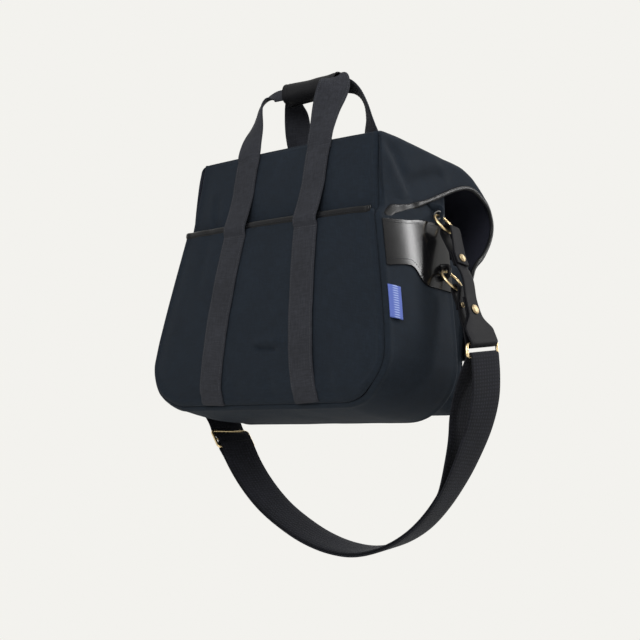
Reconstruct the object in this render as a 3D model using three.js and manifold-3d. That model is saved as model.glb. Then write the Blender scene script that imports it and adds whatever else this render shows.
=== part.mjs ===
// Messenger bag: canvas body, hooded flap, rear pocket, webbing handles and a doubled shoulder strap.
// Millimetres, +Z up, X is the bag's width, the flap closes towards -Y.
// Heights are worked out from the base; the last lines put the origin at the middle of the carry grip.
import * as THREE from 'three';
import { mergeVertices } from 'three/addons/utils/BufferGeometryUtils.js';
import Module from 'manifold-3d';

// Driving dimensions.
const GAP = 0.3; // between pieces that touch
const CLOTH = 2.5; // canvas with its backing
const HEIGHT = 322; // base to the rear top edge
const TOP_HALF = 150; // half widths of the body, from the top down
const POCKET_HALF = 163;
const MIDDLE_HALF = 187;
const LOW_HALF = 198;
const POCKET_TOP = 225;
const MIDDLE_Z = 120;
const CORNER = 54; // radius of the bottom corners
const REAR_Y = 68.5; // outside of the rear pocket
const BACK_Y = 60.5; // outside of the back panel
const FRONT_Y = -66.5; // outside of the front panel
const FRONT_POCKET_Y = -118.2; // outside of the front pocket
const FRONT_POCKET_HALF = 162;
const FRONT_POCKET_LOW = 15;
const FRONT_POCKET_TOP = 200;
const FLAP_HALF = 166;
const FLAP_LOW_Y = -122.2; // middle of the flap's cloth where it hangs over the front pocket
const HANDLE_WIDTH = 38; // handle webbing
const HANDLE_TOP_X = 60; // middle of each webbing at the hinge line
const HANDLE_BASE_X = 80; // and at the base seam
const WEBBING = 2.4; // thickness of webbing
const STRAP_WIDTH = 50; // shoulder webbing
const STRAP_Y = -40; // plane of the shoulder strap and its rings
const GRIP_Y = 15;
const GRIP_Z = 414;
const GRIP_LENGTH = 94;
const CLOSURE_X = 72; // middle of each closure tab
const STUD_Z = 72;
const HANDLE_SPREAD = 14; // how far each leg moves out between the hinge line and the grip
const HINGE_Z = HEIGHT + 2;
const RING_RADIUS = 15;
const RING_WIRE = 1.6;
const RING_SLOPE = new THREE.Vector2(0.65, 0.76); // in-plane slope of the rings, from the low to the high side
const UPPER_RING = new THREE.Vector2(178.8, 232.6); // distance from the middle, height
const LOWER_RING = new THREE.Vector2(196.8, 162.1);
const LOOP_TOP = new THREE.Vector2(247, 85); // upper bar of the rectangular loop
const LOOP_BASE = new THREE.Vector2(250, 67); // lower bar
const LOOP_WIRE = 1.9;
const LEATHER = 2.4;
const FOLD = 4.8; // radius of a leather fold around a ring, to the middle of the leather
const WIDE_FOLD = 6.2; // the same for the larger tab on the upper ring
const LAYERS = 1.45; // half the spacing of two leather layers that lie together

const wasm = await Module();
wasm.setup();

const LOOKS = {
  canvas: [0x262b33, 0.9, 0],
  webbing: [0x303238, 0.85, 0],
  leather: [0x151517, 0.4, 0],
  brass: [0xb08a48, 0.3, 1],
  lining: [0x18181b, 0.8, 0],
  board: [0x3a3630, 0.9, 0],
  label: [0x4a5ea0, 0.8, 0],
};
const bag = new THREE.Group();

function add(name, look, geometry) {
  const [color, roughness, metalness] = LOOKS[look];
  const material = new THREE.MeshStandardMaterial({ color, roughness, metalness });
  const mesh = new THREE.Mesh(geometry, material);
  mesh.name = name;
  bag.add(mesh);
  return mesh;
}

const v3 = (x, y, z) => new THREE.Vector3(x, y, z);
const X_AXIS = v3(1, 0, 0);
const Y_AXIS = v3(0, 1, 0);

function closed(positions, faces) {
  const geometry = new THREE.BufferGeometry();
  geometry.setAttribute('position', new THREE.Float32BufferAttribute(positions.flatMap((p) => p.toArray()), 3));
  geometry.setIndex(faces.flat());
  return geometry;
}

// A flat strip along 3-D points: its width lies along an axis, its thickness stands across the path.
function ribbon(points, halfWidths, thickness, axis) {
  const corners = [];
  const faces = [];
  points.forEach((point, i) => {
    const before = points[Math.max(i - 1, 0)];
    const after = points[Math.min(i + 1, points.length - 1)];
    const half = Array.isArray(halfWidths) ? halfWidths[i] : halfWidths;
    const ahead = after.clone().sub(before);
    const normal = new THREE.Vector3().crossVectors(ahead, axis).normalize().multiplyScalar(thickness / 2);
    const wide = axis.clone().multiplyScalar(half);
    corners.push(point.clone().add(normal).add(wide));
    corners.push(point.clone().add(normal).sub(wide));
    corners.push(point.clone().sub(normal).sub(wide));
    corners.push(point.clone().sub(normal).add(wide));
  });
  for (let i = 0; i + 1 < points.length; i += 1) {
    for (let k = 0; k < 4; k += 1) {
      const [a, b] = [4 * i + k, 4 * i + ((k + 1) % 4)];
      faces.push([a, b, b + 4], [a, b + 4, a + 4]);
    }
  }
  const end = 4 * (points.length - 1);
  faces.push([0, 2, 1], [0, 3, 2], [end, end + 1, end + 2], [end, end + 2, end + 3]);
  return closed(corners, faces);
}

// An outline drawn in X and Z, extruded from y = low to y = high.
function slabY(outline, low, high) {
  const shape = new THREE.Shape(outline.map(([x, z]) => new THREE.Vector2(x, z)));
  const geometry = new THREE.ExtrudeGeometry(shape, { depth: high - low, bevelEnabled: false });
  const turn = new THREE.Matrix4().makeBasis(X_AXIS, v3(0, 0, 1), v3(0, -1, 0));
  return geometry.applyMatrix4(turn).translate(0, high, 0);
}

// An outline drawn in Y and Z, extruded from x = low to x = high.
function slabX(outline, low, high, hole) {
  const shape = new THREE.Shape(outline.map(([y, z]) => new THREE.Vector2(y, z)));
  if (hole) shape.holes.push(new THREE.Path(hole.map(([y, z]) => new THREE.Vector2(y, z))));
  const geometry = new THREE.ExtrudeGeometry(shape, { depth: high - low, bevelEnabled: false });
  const turn = new THREE.Matrix4().makeBasis(Y_AXIS, v3(0, 0, 1), X_AXIS);
  return geometry.applyMatrix4(turn).translate(low, 0, 0);
}

function block(x0, x1, y0, y1, z0, z1) {
  const geometry = new THREE.BoxGeometry(x1 - x0, y1 - y0, z1 - z0);
  return geometry.translate((x0 + x1) / 2, (y0 + y1) / 2, (z0 + z1) / 2);
}

// A round wire bent along a closed flat path; side is the path's own normal.
function wireLoop(path, radius, side, sides = 8) {
  const corners = [];
  const faces = [];
  const count = path.length;
  path.forEach((point, i) => {
    const ahead = path[(i + 1) % count].clone().sub(path[(i + count - 1) % count]).normalize();
    const out = new THREE.Vector3().crossVectors(ahead, side).normalize();
    for (let k = 0; k < sides; k += 1) {
      const turn = (2 * Math.PI * k) / sides;
      const spoke = out.clone().multiplyScalar(Math.cos(turn)).addScaledVector(side, Math.sin(turn));
      corners.push(point.clone().addScaledVector(spoke, radius));
    }
  });
  for (let i = 0; i < count; i += 1) {
    for (let k = 0; k < sides; k += 1) {
      const next = (k + 1) % sides;
      const [a, b] = [i * sides + k, i * sides + next];
      const [c, d] = [((i + 1) % count) * sides + k, ((i + 1) % count) * sides + next];
      faces.push([a, b, d], [a, d, c]);
    }
  }
  return closed(corners, faces);
}

// Flips a mesh's faces where its solid came out inside out.
function outward(geometry) {
  const index = geometry.index.array;
  const place = geometry.attributes.position;
  const [a, b, c] = [v3(), v3(), v3()];
  let volume = 0;
  for (let i = 0; i < index.length; i += 3) {
    a.fromBufferAttribute(place, index[i]);
    b.fromBufferAttribute(place, index[i + 1]);
    c.fromBufferAttribute(place, index[i + 2]);
    volume += a.dot(b.cross(c));
  }
  if (volume < 0) geometry.setIndex(Array.from(index).reverse());
  return geometry;
}

function solid(geometry) {
  const bare = geometry.clone();
  bare.deleteAttribute('normal');
  bare.deleteAttribute('uv');
  const merged = mergeVertices(bare, 1e-4);
  return new wasm.Manifold(new wasm.Mesh({
    numProp: 3,
    vertProperties: new Float32Array(merged.attributes.position.array),
    triVerts: new Uint32Array(merged.index.array),
  }));
}

function subtract(whole, tool) {
  const mesh = solid(whole).subtract(solid(tool)).getMesh();
  const geometry = new THREE.BufferGeometry();
  geometry.setAttribute('position', new THREE.Float32BufferAttribute(mesh.vertProperties, 3));
  geometry.setIndex(Array.from(mesh.triVerts));
  return geometry;
}

// The body's right-hand half outline, from the middle of the base up to a height, moved in by inset.
function sideOutline(top, inset = 0) {
  const points = [];
  const steps = 6;
  for (let i = 0; i <= steps; i += 1) {
    const turn = (Math.PI / 2) * (i / steps) - Math.PI / 2;
    const reach = CORNER - inset;
    const centre = LOW_HALF - CORNER;
    points.push([centre + reach * Math.cos(turn), CORNER + reach * Math.sin(turn)]);
  }
  for (const z of [MIDDLE_Z, POCKET_TOP, HEIGHT]) {
    if (z < top) points.push([halfWidth(z) - inset, z]);
  }
  points.push([halfWidth(top) - inset, top]);
  return points;
}

function halfWidth(z) {
  const rows = [[CORNER, LOW_HALF], [MIDDLE_Z, MIDDLE_HALF], [POCKET_TOP, POCKET_HALF], [HEIGHT, TOP_HALF]];
  for (let i = 0; i + 1 < rows.length; i += 1) {
    const [[z0, w0], [z1, w1]] = [rows[i], rows[i + 1]];
    if (z <= z1) return w0 + ((w1 - w0) * (z - z0)) / (z1 - z0);
  }
  return TOP_HALF;
}

function bodyOutline(top, inset = 0) {
  const right = sideOutline(top, inset);
  const left = right.map(([x, z]) => [-x, z]).reverse();
  return [...right, ...left];
}

// Body: two panels, one strip that runs side, base, side, and what lies inside.
function body() {
  add('back_panel', 'canvas', slabY(bodyOutline(HEIGHT, CLOTH + GAP + 0.2), BACK_Y - CLOTH, BACK_Y));
  add('front_panel', 'canvas', slabY(bodyOutline(HEIGHT - 14), FRONT_Y, FRONT_Y + CLOTH));
  const strip = bodyOutline(HEIGHT, CLOTH / 2).map(([x, z]) => v3(x, (REAR_Y + FRONT_Y) / 2, z));
  const run = [...strip.slice(strip.length / 2), ...strip.slice(0, strip.length / 2)];
  const half = (REAR_Y - FRONT_Y) / 2 - CLOTH - GAP;
  add('gusset_strip', 'canvas', outward(ribbon(run, half, CLOTH, Y_AXIS)));
  add('back_pocket', 'canvas', slabY(bodyOutline(POCKET_TOP), REAR_Y - CLOTH, REAR_Y));
  const edge = halfWidth(POCKET_TOP) - CLOTH - 2 * GAP;
  const rim = POCKET_TOP + GAP;
  add('back_pocket_binding', 'leather', block(-edge, edge, REAR_Y - CLOTH - 0.6, REAR_Y + 0.6, rim, rim + 3));
  const room = TOP_HALF - 8;
  const outer = block(-room, room, FRONT_Y + CLOTH + 0.8, BACK_Y - CLOTH - 0.5, CLOTH + 0.6, HEIGHT - 22);
  const inner = block(-room + 1.5, room - 1.5, FRONT_Y + CLOTH + 2.3, BACK_Y - CLOTH - 2, CLOTH + 2.1, HEIGHT);
  add('lining', 'lining', subtract(outer, inner));
  add('base_board', 'board', block(-room + 5, room - 5, FRONT_Y + CLOTH + 5, BACK_Y - CLOTH - 5, 5, 7.5));
}

function frontPocket() {
  const [half, low, top] = [FRONT_POCKET_HALF, FRONT_POCKET_LOW, FRONT_POCKET_TOP];
  const panel = [[-half, low], [half, low], [half, top], [-half, top]];
  add('front_pocket_panel', 'canvas', slabY(panel, FRONT_POCKET_Y, FRONT_POCKET_Y + CLOTH));
  const wall = CLOTH + GAP;
  const outline = [
    [-half, low], [half, low], [half, top], [half - wall, top],
    [half - wall, low + wall], [-half + wall, low + wall], [-half + wall, top], [-half, top],
  ];
  add('front_pocket_gusset', 'canvas', slabY(outline, FRONT_POCKET_Y + CLOTH + GAP, FRONT_Y - GAP));
}

// Webbing on the rear pocket, up over its binding to the hinge line.
function rearWebbing(name, side) {
  const lean = (z) => side * (HANDLE_BASE_X + (HANDLE_TOP_X - HANDLE_BASE_X) * Math.min(z / POCKET_TOP, 1));
  const off = WEBBING / 2 + GAP;
  const path = [
    [REAR_Y + off, 4], [REAR_Y + off, 60], [REAR_Y + off, 140], [REAR_Y + off, POCKET_TOP - 6],
    [REAR_Y + off + 1.2, POCKET_TOP - 1], [REAR_Y + off + 1.2, POCKET_TOP + 5],
    [BACK_Y + off + 2, POCKET_TOP + 20], [BACK_Y + off, POCKET_TOP + 30], [BACK_Y + off, HEIGHT - 7],
  ];
  const points = path.map(([y, z]) => v3(lean(z), y, z));
  add(name, 'webbing', outward(ribbon(points, HANDLE_WIDTH / 2, WEBBING, X_AXIS)));
}

// Flap: one panel over the top and down the front, with an ear closing each side.
const FLAP_PATH = [
  [59, 323.8], [10, 323.8], [-40, 323.8], [-85, 323.6], [-115, 315.5], [-135, 301.5], [-149, 282], [-155, 260],
  [-151, 236], [-140, 215], [-127.5, 198], [-122.6, 178], [FLAP_LOW_Y, 150], [FLAP_LOW_Y, 120], [FLAP_LOW_Y, 85],
];

function flap() {
  const path = FLAP_PATH.map(([y, z]) => v3(0, y, z));
  add('flap_panel', 'canvas', outward(ribbon(path, FLAP_HALF, CLOTH, X_AXIS)));
  const ear = [[59, 325], [-40, 325], [-85, 324.8], [-116, 316.3], [-114, 306], [-60, 288], [0, 251], [57, 229]];
  const edge = [[57, 226.5], [0, 248.5], [-60, 285.5], [-114, 303.5]];
  for (const [name, side] of [['left', 1], ['right', -1]]) {
    const [a, b] = [side * (FLAP_HALF + GAP), side * (FLAP_HALF + GAP + CLOTH)];
    add(`flap_ear_${name}`, 'canvas', slabX(ear, Math.min(a, b), Math.max(a, b)));
    const points = edge.map(([y, z]) => v3(side * (FLAP_HALF + GAP + CLOTH / 2), y, z));
    add(`flap_binding_${name}`, 'leather', outward(ribbon(points, 2.2, 3, X_AXIS)));
  }
}

// Webbing on the flap, from the front handle's legs over the top and down the front.
function frontWebbing(name, side) {
  const lift = CLOTH / 2 + GAP + WEBBING / 2;
  const route = FLAP_PATH.slice(2, 12);
  const points = route.map(([y, z], i) => {
    const [y0, z0] = route[Math.max(i - 1, 0)];
    const [y1, z1] = route[Math.min(i + 1, route.length - 1)];
    const across = new THREE.Vector2(z1 - z0, y0 - y1).normalize();
    return v3(side * HANDLE_TOP_X, y + across.x * lift, z + across.y * lift);
  });
  add(name, 'webbing', outward(ribbon(points, HANDLE_WIDTH / 2, WEBBING, X_AXIS)));
}

// A handle loop: two legs and a gathered band that runs through the grip, leaning over the bag.
function handle(name, footY, topY, footZ) {
  const rise = GRIP_Z + 8 - footZ;
  const run = topY - footY;
  const length = Math.hypot(rise, run);
  const band = 14;
  const inside = HANDLE_TOP_X - HANDLE_WIDTH / 2;
  const outside = HANDLE_TOP_X + HANDLE_WIDTH / 2;
  const spread = HANDLE_SPREAD;
  const right = [
    [inside, 0], [outside, 0], [outside + spread, length - 40], [outside + spread - 5, length - 18],
    [outside + spread - 16, length - 5], [outside + spread - 28, length],
  ];
  const under = [[-inside - spread, length - band - 6], [-inside - spread + 6, length - band]];
  const left = right.map(([x, z]) => [-x, z]).reverse();
  const outline = [...right, ...left, ...under, ...under.map(([x, z]) => [-x, z]).reverse()];
  const geometry = slabY(outline, -WEBBING / 2, WEBBING / 2);
  geometry.rotateX(Math.atan2(-run, rise));
  add(name, 'webbing', geometry.translate(0, footY, footZ));
}

function grip() {
  const ring = (halfDepth, halfHeight) => {
    const points = [];
    for (let i = 0; i < 16; i += 1) {
      const turn = (2 * Math.PI * i) / 16;
      const [c, s] = [Math.cos(turn), Math.sin(turn)];
      const bulge = (v) => Math.sign(v) * Math.abs(v) ** 0.7;
      points.push([GRIP_Y + halfDepth * bulge(c), GRIP_Z + halfHeight * bulge(s)]);
    }
    return points;
  };
  add('grip_wrap', 'leather', slabX(ring(15, 15), -GRIP_LENGTH / 2, GRIP_LENGTH / 2, ring(12.8, 12.8)));
}

// A leather tab on the flap's lower edge, with the stud that it presses on to.
function closure(name, side) {
  const x = side * CLOSURE_X;
  const y = FLAP_LOW_Y - CLOTH / 2 - GAP;
  const [half, nose, low, top] = [14, 8, 56, 118];
  const tab = [[x - half, top], [x - half, low + 12], [x - nose, low], [x + nose, low], [x + half, low + 12], [x + half, top]];
  add(`closure_tab_${name}`, 'leather', slabY(tab, y - LEATHER, y));
  const cap = new THREE.LatheGeometry(
    [[0, 0], [6.5, 0], [6, 1.8], [3.5, 3], [0, 3.4]].map(([a, b]) => new THREE.Vector2(a, b)), 14);
  add(`stud_cap_${name}`, 'brass', cap.rotateX(Math.PI).translate(x, y - LEATHER - GAP, STUD_Z));
  const reach = FRONT_POCKET_Y - y - 2 * GAP;
  const post = new THREE.CylinderGeometry(3.5, 3.5, reach, 12);
  add(`stud_post_${name}`, 'brass', post.translate(x, FRONT_POCKET_Y - GAP - reach / 2, STUD_Z));
}

// Side leather, rings, tabs and chape for one side; out is +1 or -1.
function sideFittings(name, out) {
  const skin = (z, off) => v3(out * (halfWidth(z) + off), 2, z);
  add(`side_yoke_${name}`, 'leather', outward(ribbon([skin(158, 1.6), skin(217, 1.6)], 60, LEATHER, Y_AXIS)));
  for (const [level, centre] of [['upper', UPPER_RING], ['lower', LOWER_RING]]) {
    const middle = v3(out * centre.x, STRAP_Y, centre.y);
    const up = v3(-out * RING_SLOPE.x, 0, RING_SLOPE.y).normalize();
    const path = [];
    for (let i = 0; i < 28; i += 1) {
      const turn = (2 * Math.PI * i) / 28;
      const spoke = up.clone().multiplyScalar(Math.cos(turn)).addScaledVector(Y_AXIS, Math.sin(turn));
      path.push(middle.clone().addScaledVector(spoke, RING_RADIUS));
    }
    const normal = new THREE.Vector3().crossVectors(up, Y_AXIS).normalize();
    add(`ring_${level}_${name}`, 'brass', outward(wireLoop(path, RING_WIRE, normal)));
    const hole = middle.clone().addScaledVector(up, RING_RADIUS);
    const root = out * (halfWidth(hole.z - 7) + (level === 'upper' ? GAP : 3.5));
    const tip = hole.x + out * 7;
    const fin = [[root, hole.z - 7], [tip, hole.z - 7], [tip, hole.z + 4], [tip - out * 3, hole.z + 7], [root, hole.z + 7]];
    const finSlab = slabY(out > 0 ? fin : fin.reverse(), STRAP_Y - 1.5, STRAP_Y + 1.5);
    const bore = new THREE.CylinderGeometry(3.4, 3.4, 8, 16).translate(hole.x, STRAP_Y, hole.z);
    add(`ring_tab_${level}_${name}`, 'leather', subtract(finSlab, bore));
    if (level === 'upper') {
      const eye = [[3.6, 0], [6, 0], [6, 0.8], [3.6, 0.8], [3.6, 0]].map(([a, b]) => new THREE.Vector2(a, b));
      const eyelet = new THREE.LatheGeometry(eye, 16).translate(hole.x, STRAP_Y + 1.5 + GAP, hole.z);
      add(`eyelet_${name}`, 'brass', eyelet);
    }
  }
}


// The middle line of a strip folded around a wire: two legs and a half turn. Each leg closes up to half at
// its stops, which are distances from the wire, the farthest first.
function foldLine(centre, down, radius, stops, half) {
  const across = new THREE.Vector2(-down.y, down.x);
  const at = (s, t) => centre.clone().addScaledVector(down, s).addScaledVector(across, t);
  const line = [...stops.map((stop) => at(stop, half)), at(radius * 2.6, half + (radius - half) * 0.35)];
  for (let i = 0; i <= 6; i += 1) {
    const turn = (Math.PI * i) / 6;
    line.push(at(-radius * Math.sin(turn), radius * Math.cos(turn)));
  }
  line.push(at(radius * 2.6, -half - (radius - half) * 0.35));
  line.push(...[...stops].reverse().map((stop) => at(stop, -half)));
  return line;
}

const flat = (line, out) => line.map((p) => v3(out * p.x, STRAP_Y, p.y));

// Along-and-across frame of a leather stack: its bores and rivets stand across the down direction.
function acrossPin(geometry, centre, down, out) {
  const angle = Math.atan2(out * down.x, -down.y);
  geometry.rotateZ(-out * Math.PI / 2);
  geometry.rotateY(-angle);
  return geometry.translate(out * centre.x, STRAP_Y, centre.y);
}

function rivetBody(stack, head) {
  const [back, front] = [-stack / 2 - GAP, stack / 2 + GAP];
  const profile = [
    [0, back - 1.2], [head * 0.7, back - 1.2], [head * 0.7, back], [1.8, back], [1.8, front], [head, front],
    [head * 0.9, front + 1], [head * 0.5, front + 1.9], [0, front + 2.2],
  ];
  return new THREE.LatheGeometry(profile.map(([a, b]) => new THREE.Vector2(a, b)), 12);
}

const bore = (stack) => new THREE.CylinderGeometry(2.2, 2.2, stack + 6, 12);

// Leather of one side: a tab on the upper ring, a strap on the lower ring and a chape around the loop.
function chapeSet(name, out) {
  const down = RING_SLOPE.clone().normalize().multiply(new THREE.Vector2(1, -1));
  const upper = UPPER_RING.clone().addScaledVector(down, RING_RADIUS);
  const lower = LOWER_RING.clone().addScaledVector(down, RING_RADIUS);
  const tabWay = new THREE.Vector2(0.53, -0.85).normalize();
  const tabHalf = 2.75;
  const tabPin = upper.clone().addScaledVector(tabWay, 37);
  const tabLine = foldLine(upper, tabWay, WIDE_FOLD, [46, 30], tabHalf);
  const tabWidths = tabLine.map((p) => (p.distanceTo(upper) > 20 ? 11 : 7.5));
  const tabStack = 2 * tabHalf + LEATHER;
  let tab = outward(ribbon(flat(tabLine, out), tabWidths, LEATHER, Y_AXIS));
  tab = subtract(tab, acrossPin(bore(tabStack), tabPin, tabWay, out));
  add(`upper_tab_${name}`, 'leather', tab);
  add(`upper_rivet_${name}`, 'brass', acrossPin(rivetBody(tabStack, 5.5), tabPin, tabWay, out));

  const barWay = LOOP_TOP.clone().sub(new THREE.Vector2(222, 146)).normalize();
  const barFold = foldLine(LOOP_TOP, barWay.clone().negate(), 3.7, [58, 34, 22], LAYERS).reverse();
  const head = [
    upper.clone().addScaledVector(tabWay, 29),
    upper.clone().addScaledVector(tabWay, 47),
    new THREE.Vector2(219.5, 163),
  ];
  const chapeLine = [...head, ...barFold];
  const chapeWidths = [11, 11, 10, 11.5, 12.5, 20, 23.5, ...Array(7).fill(24), 23.5, 20, 12.5, 11.5];
  const chapePin = LOOP_TOP.clone().addScaledVector(barWay, -42);
  const chapeStack = 2 * LAYERS + LEATHER + 0.7;
  let chape = outward(ribbon(flat(chapeLine, out), chapeWidths, LEATHER, Y_AXIS));
  chape = subtract(chape, acrossPin(bore(tabStack), tabPin, tabWay, out));
  chape = subtract(chape, acrossPin(bore(chapeStack), chapePin, barWay, out));
  add(`chape_${name}`, 'leather', chape);
  add(`chape_rivet_${name}`, 'brass', acrossPin(rivetBody(chapeStack, 6), chapePin, barWay, out));

  const lowWay = new THREE.Vector2(0.27, -0.96).normalize();
  const lowFold = foldLine(lower, lowWay, FOLD, [26], LAYERS);
  const lowLine = [new THREE.Vector2(232, 97), new THREE.Vector2(221, 112), ...lowFold];
  const lowPin = lower.clone().addScaledVector(lowWay, 21);
  let low = outward(ribbon(flat(lowLine, out), [10, 9, ...Array(11).fill(6)], LEATHER, Y_AXIS));
  const lowStack = 2 * LAYERS + LEATHER + 1.2;
  low = subtract(low, acrossPin(bore(lowStack), lowPin, lowWay, out));
  add(`lower_strap_${name}`, 'leather', low);
  add(`lower_rivet_${name}`, 'brass', acrossPin(rivetBody(lowStack, 3.6), lowPin, lowWay, out));

  const reach = LOOP_BASE.clone().sub(LOOP_TOP);
  const middle = LOOP_BASE.clone().add(LOOP_TOP).multiplyScalar(0.5);
  const high = v3(out * -reach.x, 0, -reach.y).normalize();
  const corner = 4;
  const [wide, tall] = [STRAP_WIDTH / 2 + 0.8 + LOOP_WIRE, reach.length() / 2];
  const path = [];
  for (const [sy, sz, start] of [[1, 1, 0], [-1, 1, 1], [-1, -1, 2], [1, -1, 3]]) {
    for (let i = 0; i <= 3; i += 1) {
      const turn = (Math.PI / 2) * (start + i / 3);
      const y = sy * (wide - corner) + corner * Math.cos(turn);
      const z = sz * (tall - corner) + corner * Math.sin(turn);
      path.push(v3(out * middle.x, STRAP_Y + y, middle.y).addScaledVector(high, z));
    }
  }
  const side = new THREE.Vector3().crossVectors(high, Y_AXIS).normalize();
  add(`strap_loop_${name}`, 'brass', outward(wireLoop(path, LOOP_WIRE, side)));
}

// Shoulder strap: out and down from one loop, under the bag and up to the other, in x and height.
const STRAP_ROUTE = [
  [-253.6, 67], [-257, 46], [-258, 20], [-252.5, -10], [-241.5, -40], [-226.5, -72], [-206, -103],
  [-178, -130], [-142, -149], [-102, -158], [-62, -156], [-20, -146], [20, -130], [58, -110], [92, -85],
  [122, -56], [148, -23], [172, 3], [200, 26], [228, 46], [247, 60.5],
];
const RETURN_ROUTE = [
  [-246.4, 67], [-238, 50], [-231.5, 25], [-228.5, 0], [-227.5, -25], [-224, -50],
];

function curve(points, count) {
  const spline = new THREE.CatmullRomCurve3(points.map(([x, z]) => v3(x, STRAP_Y, z)), false, 'centripetal');
  return spline.getSpacedPoints(count);
}

// Moves a line's points sideways, towards the inside of the strap's loop.
function inside(points, distance) {
  return points.map((point, i) => {
    const before = points[Math.max(i - 1, 0)];
    const after = points[Math.min(i + 1, points.length - 1)];
    const across = new THREE.Vector3().crossVectors(after.clone().sub(before), Y_AXIS).normalize();
    return point.clone().addScaledVector(across, distance);
  });
}

const SLIDER_AT = 0.853; // share of the strap's length at the slider

function strap() {
  const steps = 66;
  const line = curve(STRAP_ROUTE, steps);
  const total = line.reduce((sum, p, i) => sum + (i ? p.distanceTo(line[i - 1]) : 0), 0);
  const sliderIndex = Math.round(SLIDER_AT * steps);
  const step = total / steps;
  const weave = [[-2, -0.8], [-1, -3.2], [0, 3.6], [1, -3.2], [2, -0.8]];
  const woven = line.map((point, i) => {
    const hit = weave.find(([k]) => sliderIndex + k === i);
    if (!hit) return point;
    const ahead = line[i + 1].clone().sub(line[i - 1]).normalize();
    const across = new THREE.Vector3().crossVectors(ahead, Y_AXIS).normalize();
    return point.clone().addScaledVector(across, hit[1]);
  });
  const bar = v3(-LOOP_BASE.x, STRAP_Y, LOOP_BASE.y);
  const topLeft = bar.clone().add(v3(-1, 0, 3.9));
  const far = v3(LOOP_BASE.x, STRAP_Y, LOOP_BASE.y);
  const round = [[2.8, -3.6], [4.3, 0], [2.8, 3.6], [-1.6, 4.6], [-5.2, 2.2]].map(([x, z]) => far.clone().add(v3(x, 0, z)));
  const stub = inside(line.slice(-6), 3.3).reverse();
  const main = [topLeft, bar.clone().add(v3(-3.2, 0, 2.6)), ...woven.slice(0, -1), ...round, ...stub.slice(1)];
  add('shoulder_strap', 'webbing', outward(ribbon(main, STRAP_WIDTH / 2, WEBBING, Y_AXIS)));

  const join = line.findIndex((p, i) => i > 5 && p.z < -85);
  const layered = inside(line, 3.3).slice(join, sliderIndex - 1);
  const top = [bar.clone().add(v3(1, 0, 3.9)), bar.clone().add(v3(3.2, 0, 2.6))];
  const free = curve([...RETURN_ROUTE, [layered[0].x, layered[0].z]], 12);
  const back = [...top, ...free.slice(0, -1), ...layered];
  add('strap_return', 'webbing', outward(ribbon(back, STRAP_WIDTH / 2 - 0.5, WEBBING, Y_AXIS)));
  slider(line[sliderIndex], line[sliderIndex + 1].clone().sub(line[sliderIndex - 1]).normalize(), step);
}

// Three-bar slider: a flat frame with two slots, lying along the strap.
function slider(centre, ahead, step) {
  const [half, wide, bar] = [step + 1.2, STRAP_WIDTH / 2 + 3.4, 2.4];
  const plate = new THREE.Shape([
    new THREE.Vector2(-wide, -half), new THREE.Vector2(wide, -half),
    new THREE.Vector2(wide, half), new THREE.Vector2(-wide, half),
  ]);
  const [slotEdge, slotWide] = [half - bar, wide - bar];
  for (const [low, high] of [[-slotEdge, -bar / 2], [bar / 2, slotEdge]]) {
    plate.holes.push(new THREE.Path([
      new THREE.Vector2(-slotWide, low), new THREE.Vector2(-slotWide, high),
      new THREE.Vector2(slotWide, high), new THREE.Vector2(slotWide, low),
    ]));
  }
  const thick = 2;
  const geometry = new THREE.ExtrudeGeometry(plate, { depth: thick, bevelEnabled: false });
  geometry.translate(0, 0, -thick / 2);
  const across = new THREE.Vector3().crossVectors(Y_AXIS, ahead).normalize();
  geometry.applyMatrix4(new THREE.Matrix4().makeBasis(Y_AXIS, ahead, across));
  const shift = across.clone().multiplyScalar(-0.5);
  add('strap_slider', 'brass', geometry.translate(centre.x + shift.x, centre.y, centre.z + shift.z));
}

function label() {
  const skin = (z) => v3(-(halfWidth(z) + 0.9), 53, z);
  add('side_label', 'label', outward(ribbon([skin(99), skin(MIDDLE_Z), skin(138)], 10, 0.8, Y_AXIS)));
}

body();
frontPocket();
rearWebbing('rear_webbing_left', 1);
rearWebbing('rear_webbing_right', -1);
flap();
frontWebbing('front_webbing_left', 1);
frontWebbing('front_webbing_right', -1);
handle('rear_handle', BACK_Y + 2, GRIP_Y + 1.7, HINGE_Z + 4);
handle('front_handle', -40, GRIP_Y - 1.7, HINGE_Z + 6);
grip();
closure('left', 1);
closure('right', -1);
sideFittings('left', 1);
sideFittings('right', -1);
chapeSet('left', 1);
chapeSet('right', -1);
strap();
label();

bag.position.set(0, -GRIP_Y, -GRIP_Z);
export default bag;
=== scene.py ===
# Messenger bag: the looks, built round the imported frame.
import bpy
import math
import numpy as np
from mathutils import Matrix, Vector, noise


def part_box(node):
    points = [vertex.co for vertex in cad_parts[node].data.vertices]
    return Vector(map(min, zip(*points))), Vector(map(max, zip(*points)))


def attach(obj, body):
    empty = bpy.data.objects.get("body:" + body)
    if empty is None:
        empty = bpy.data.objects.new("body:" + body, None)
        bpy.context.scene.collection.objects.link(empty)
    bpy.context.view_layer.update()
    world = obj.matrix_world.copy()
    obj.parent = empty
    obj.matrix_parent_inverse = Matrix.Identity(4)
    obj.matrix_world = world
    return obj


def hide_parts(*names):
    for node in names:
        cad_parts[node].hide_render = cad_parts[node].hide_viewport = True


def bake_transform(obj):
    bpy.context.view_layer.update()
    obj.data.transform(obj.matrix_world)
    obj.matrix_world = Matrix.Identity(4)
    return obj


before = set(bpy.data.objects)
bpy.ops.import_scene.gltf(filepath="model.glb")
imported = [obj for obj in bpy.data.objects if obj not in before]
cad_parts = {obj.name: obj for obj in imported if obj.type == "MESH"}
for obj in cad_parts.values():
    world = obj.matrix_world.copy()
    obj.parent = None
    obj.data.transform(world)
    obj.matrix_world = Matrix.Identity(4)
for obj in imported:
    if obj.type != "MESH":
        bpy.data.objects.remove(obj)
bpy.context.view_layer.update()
scene = bpy.context.scene
scene.view_settings.view_transform = "Standard"
MM = 0.001

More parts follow.
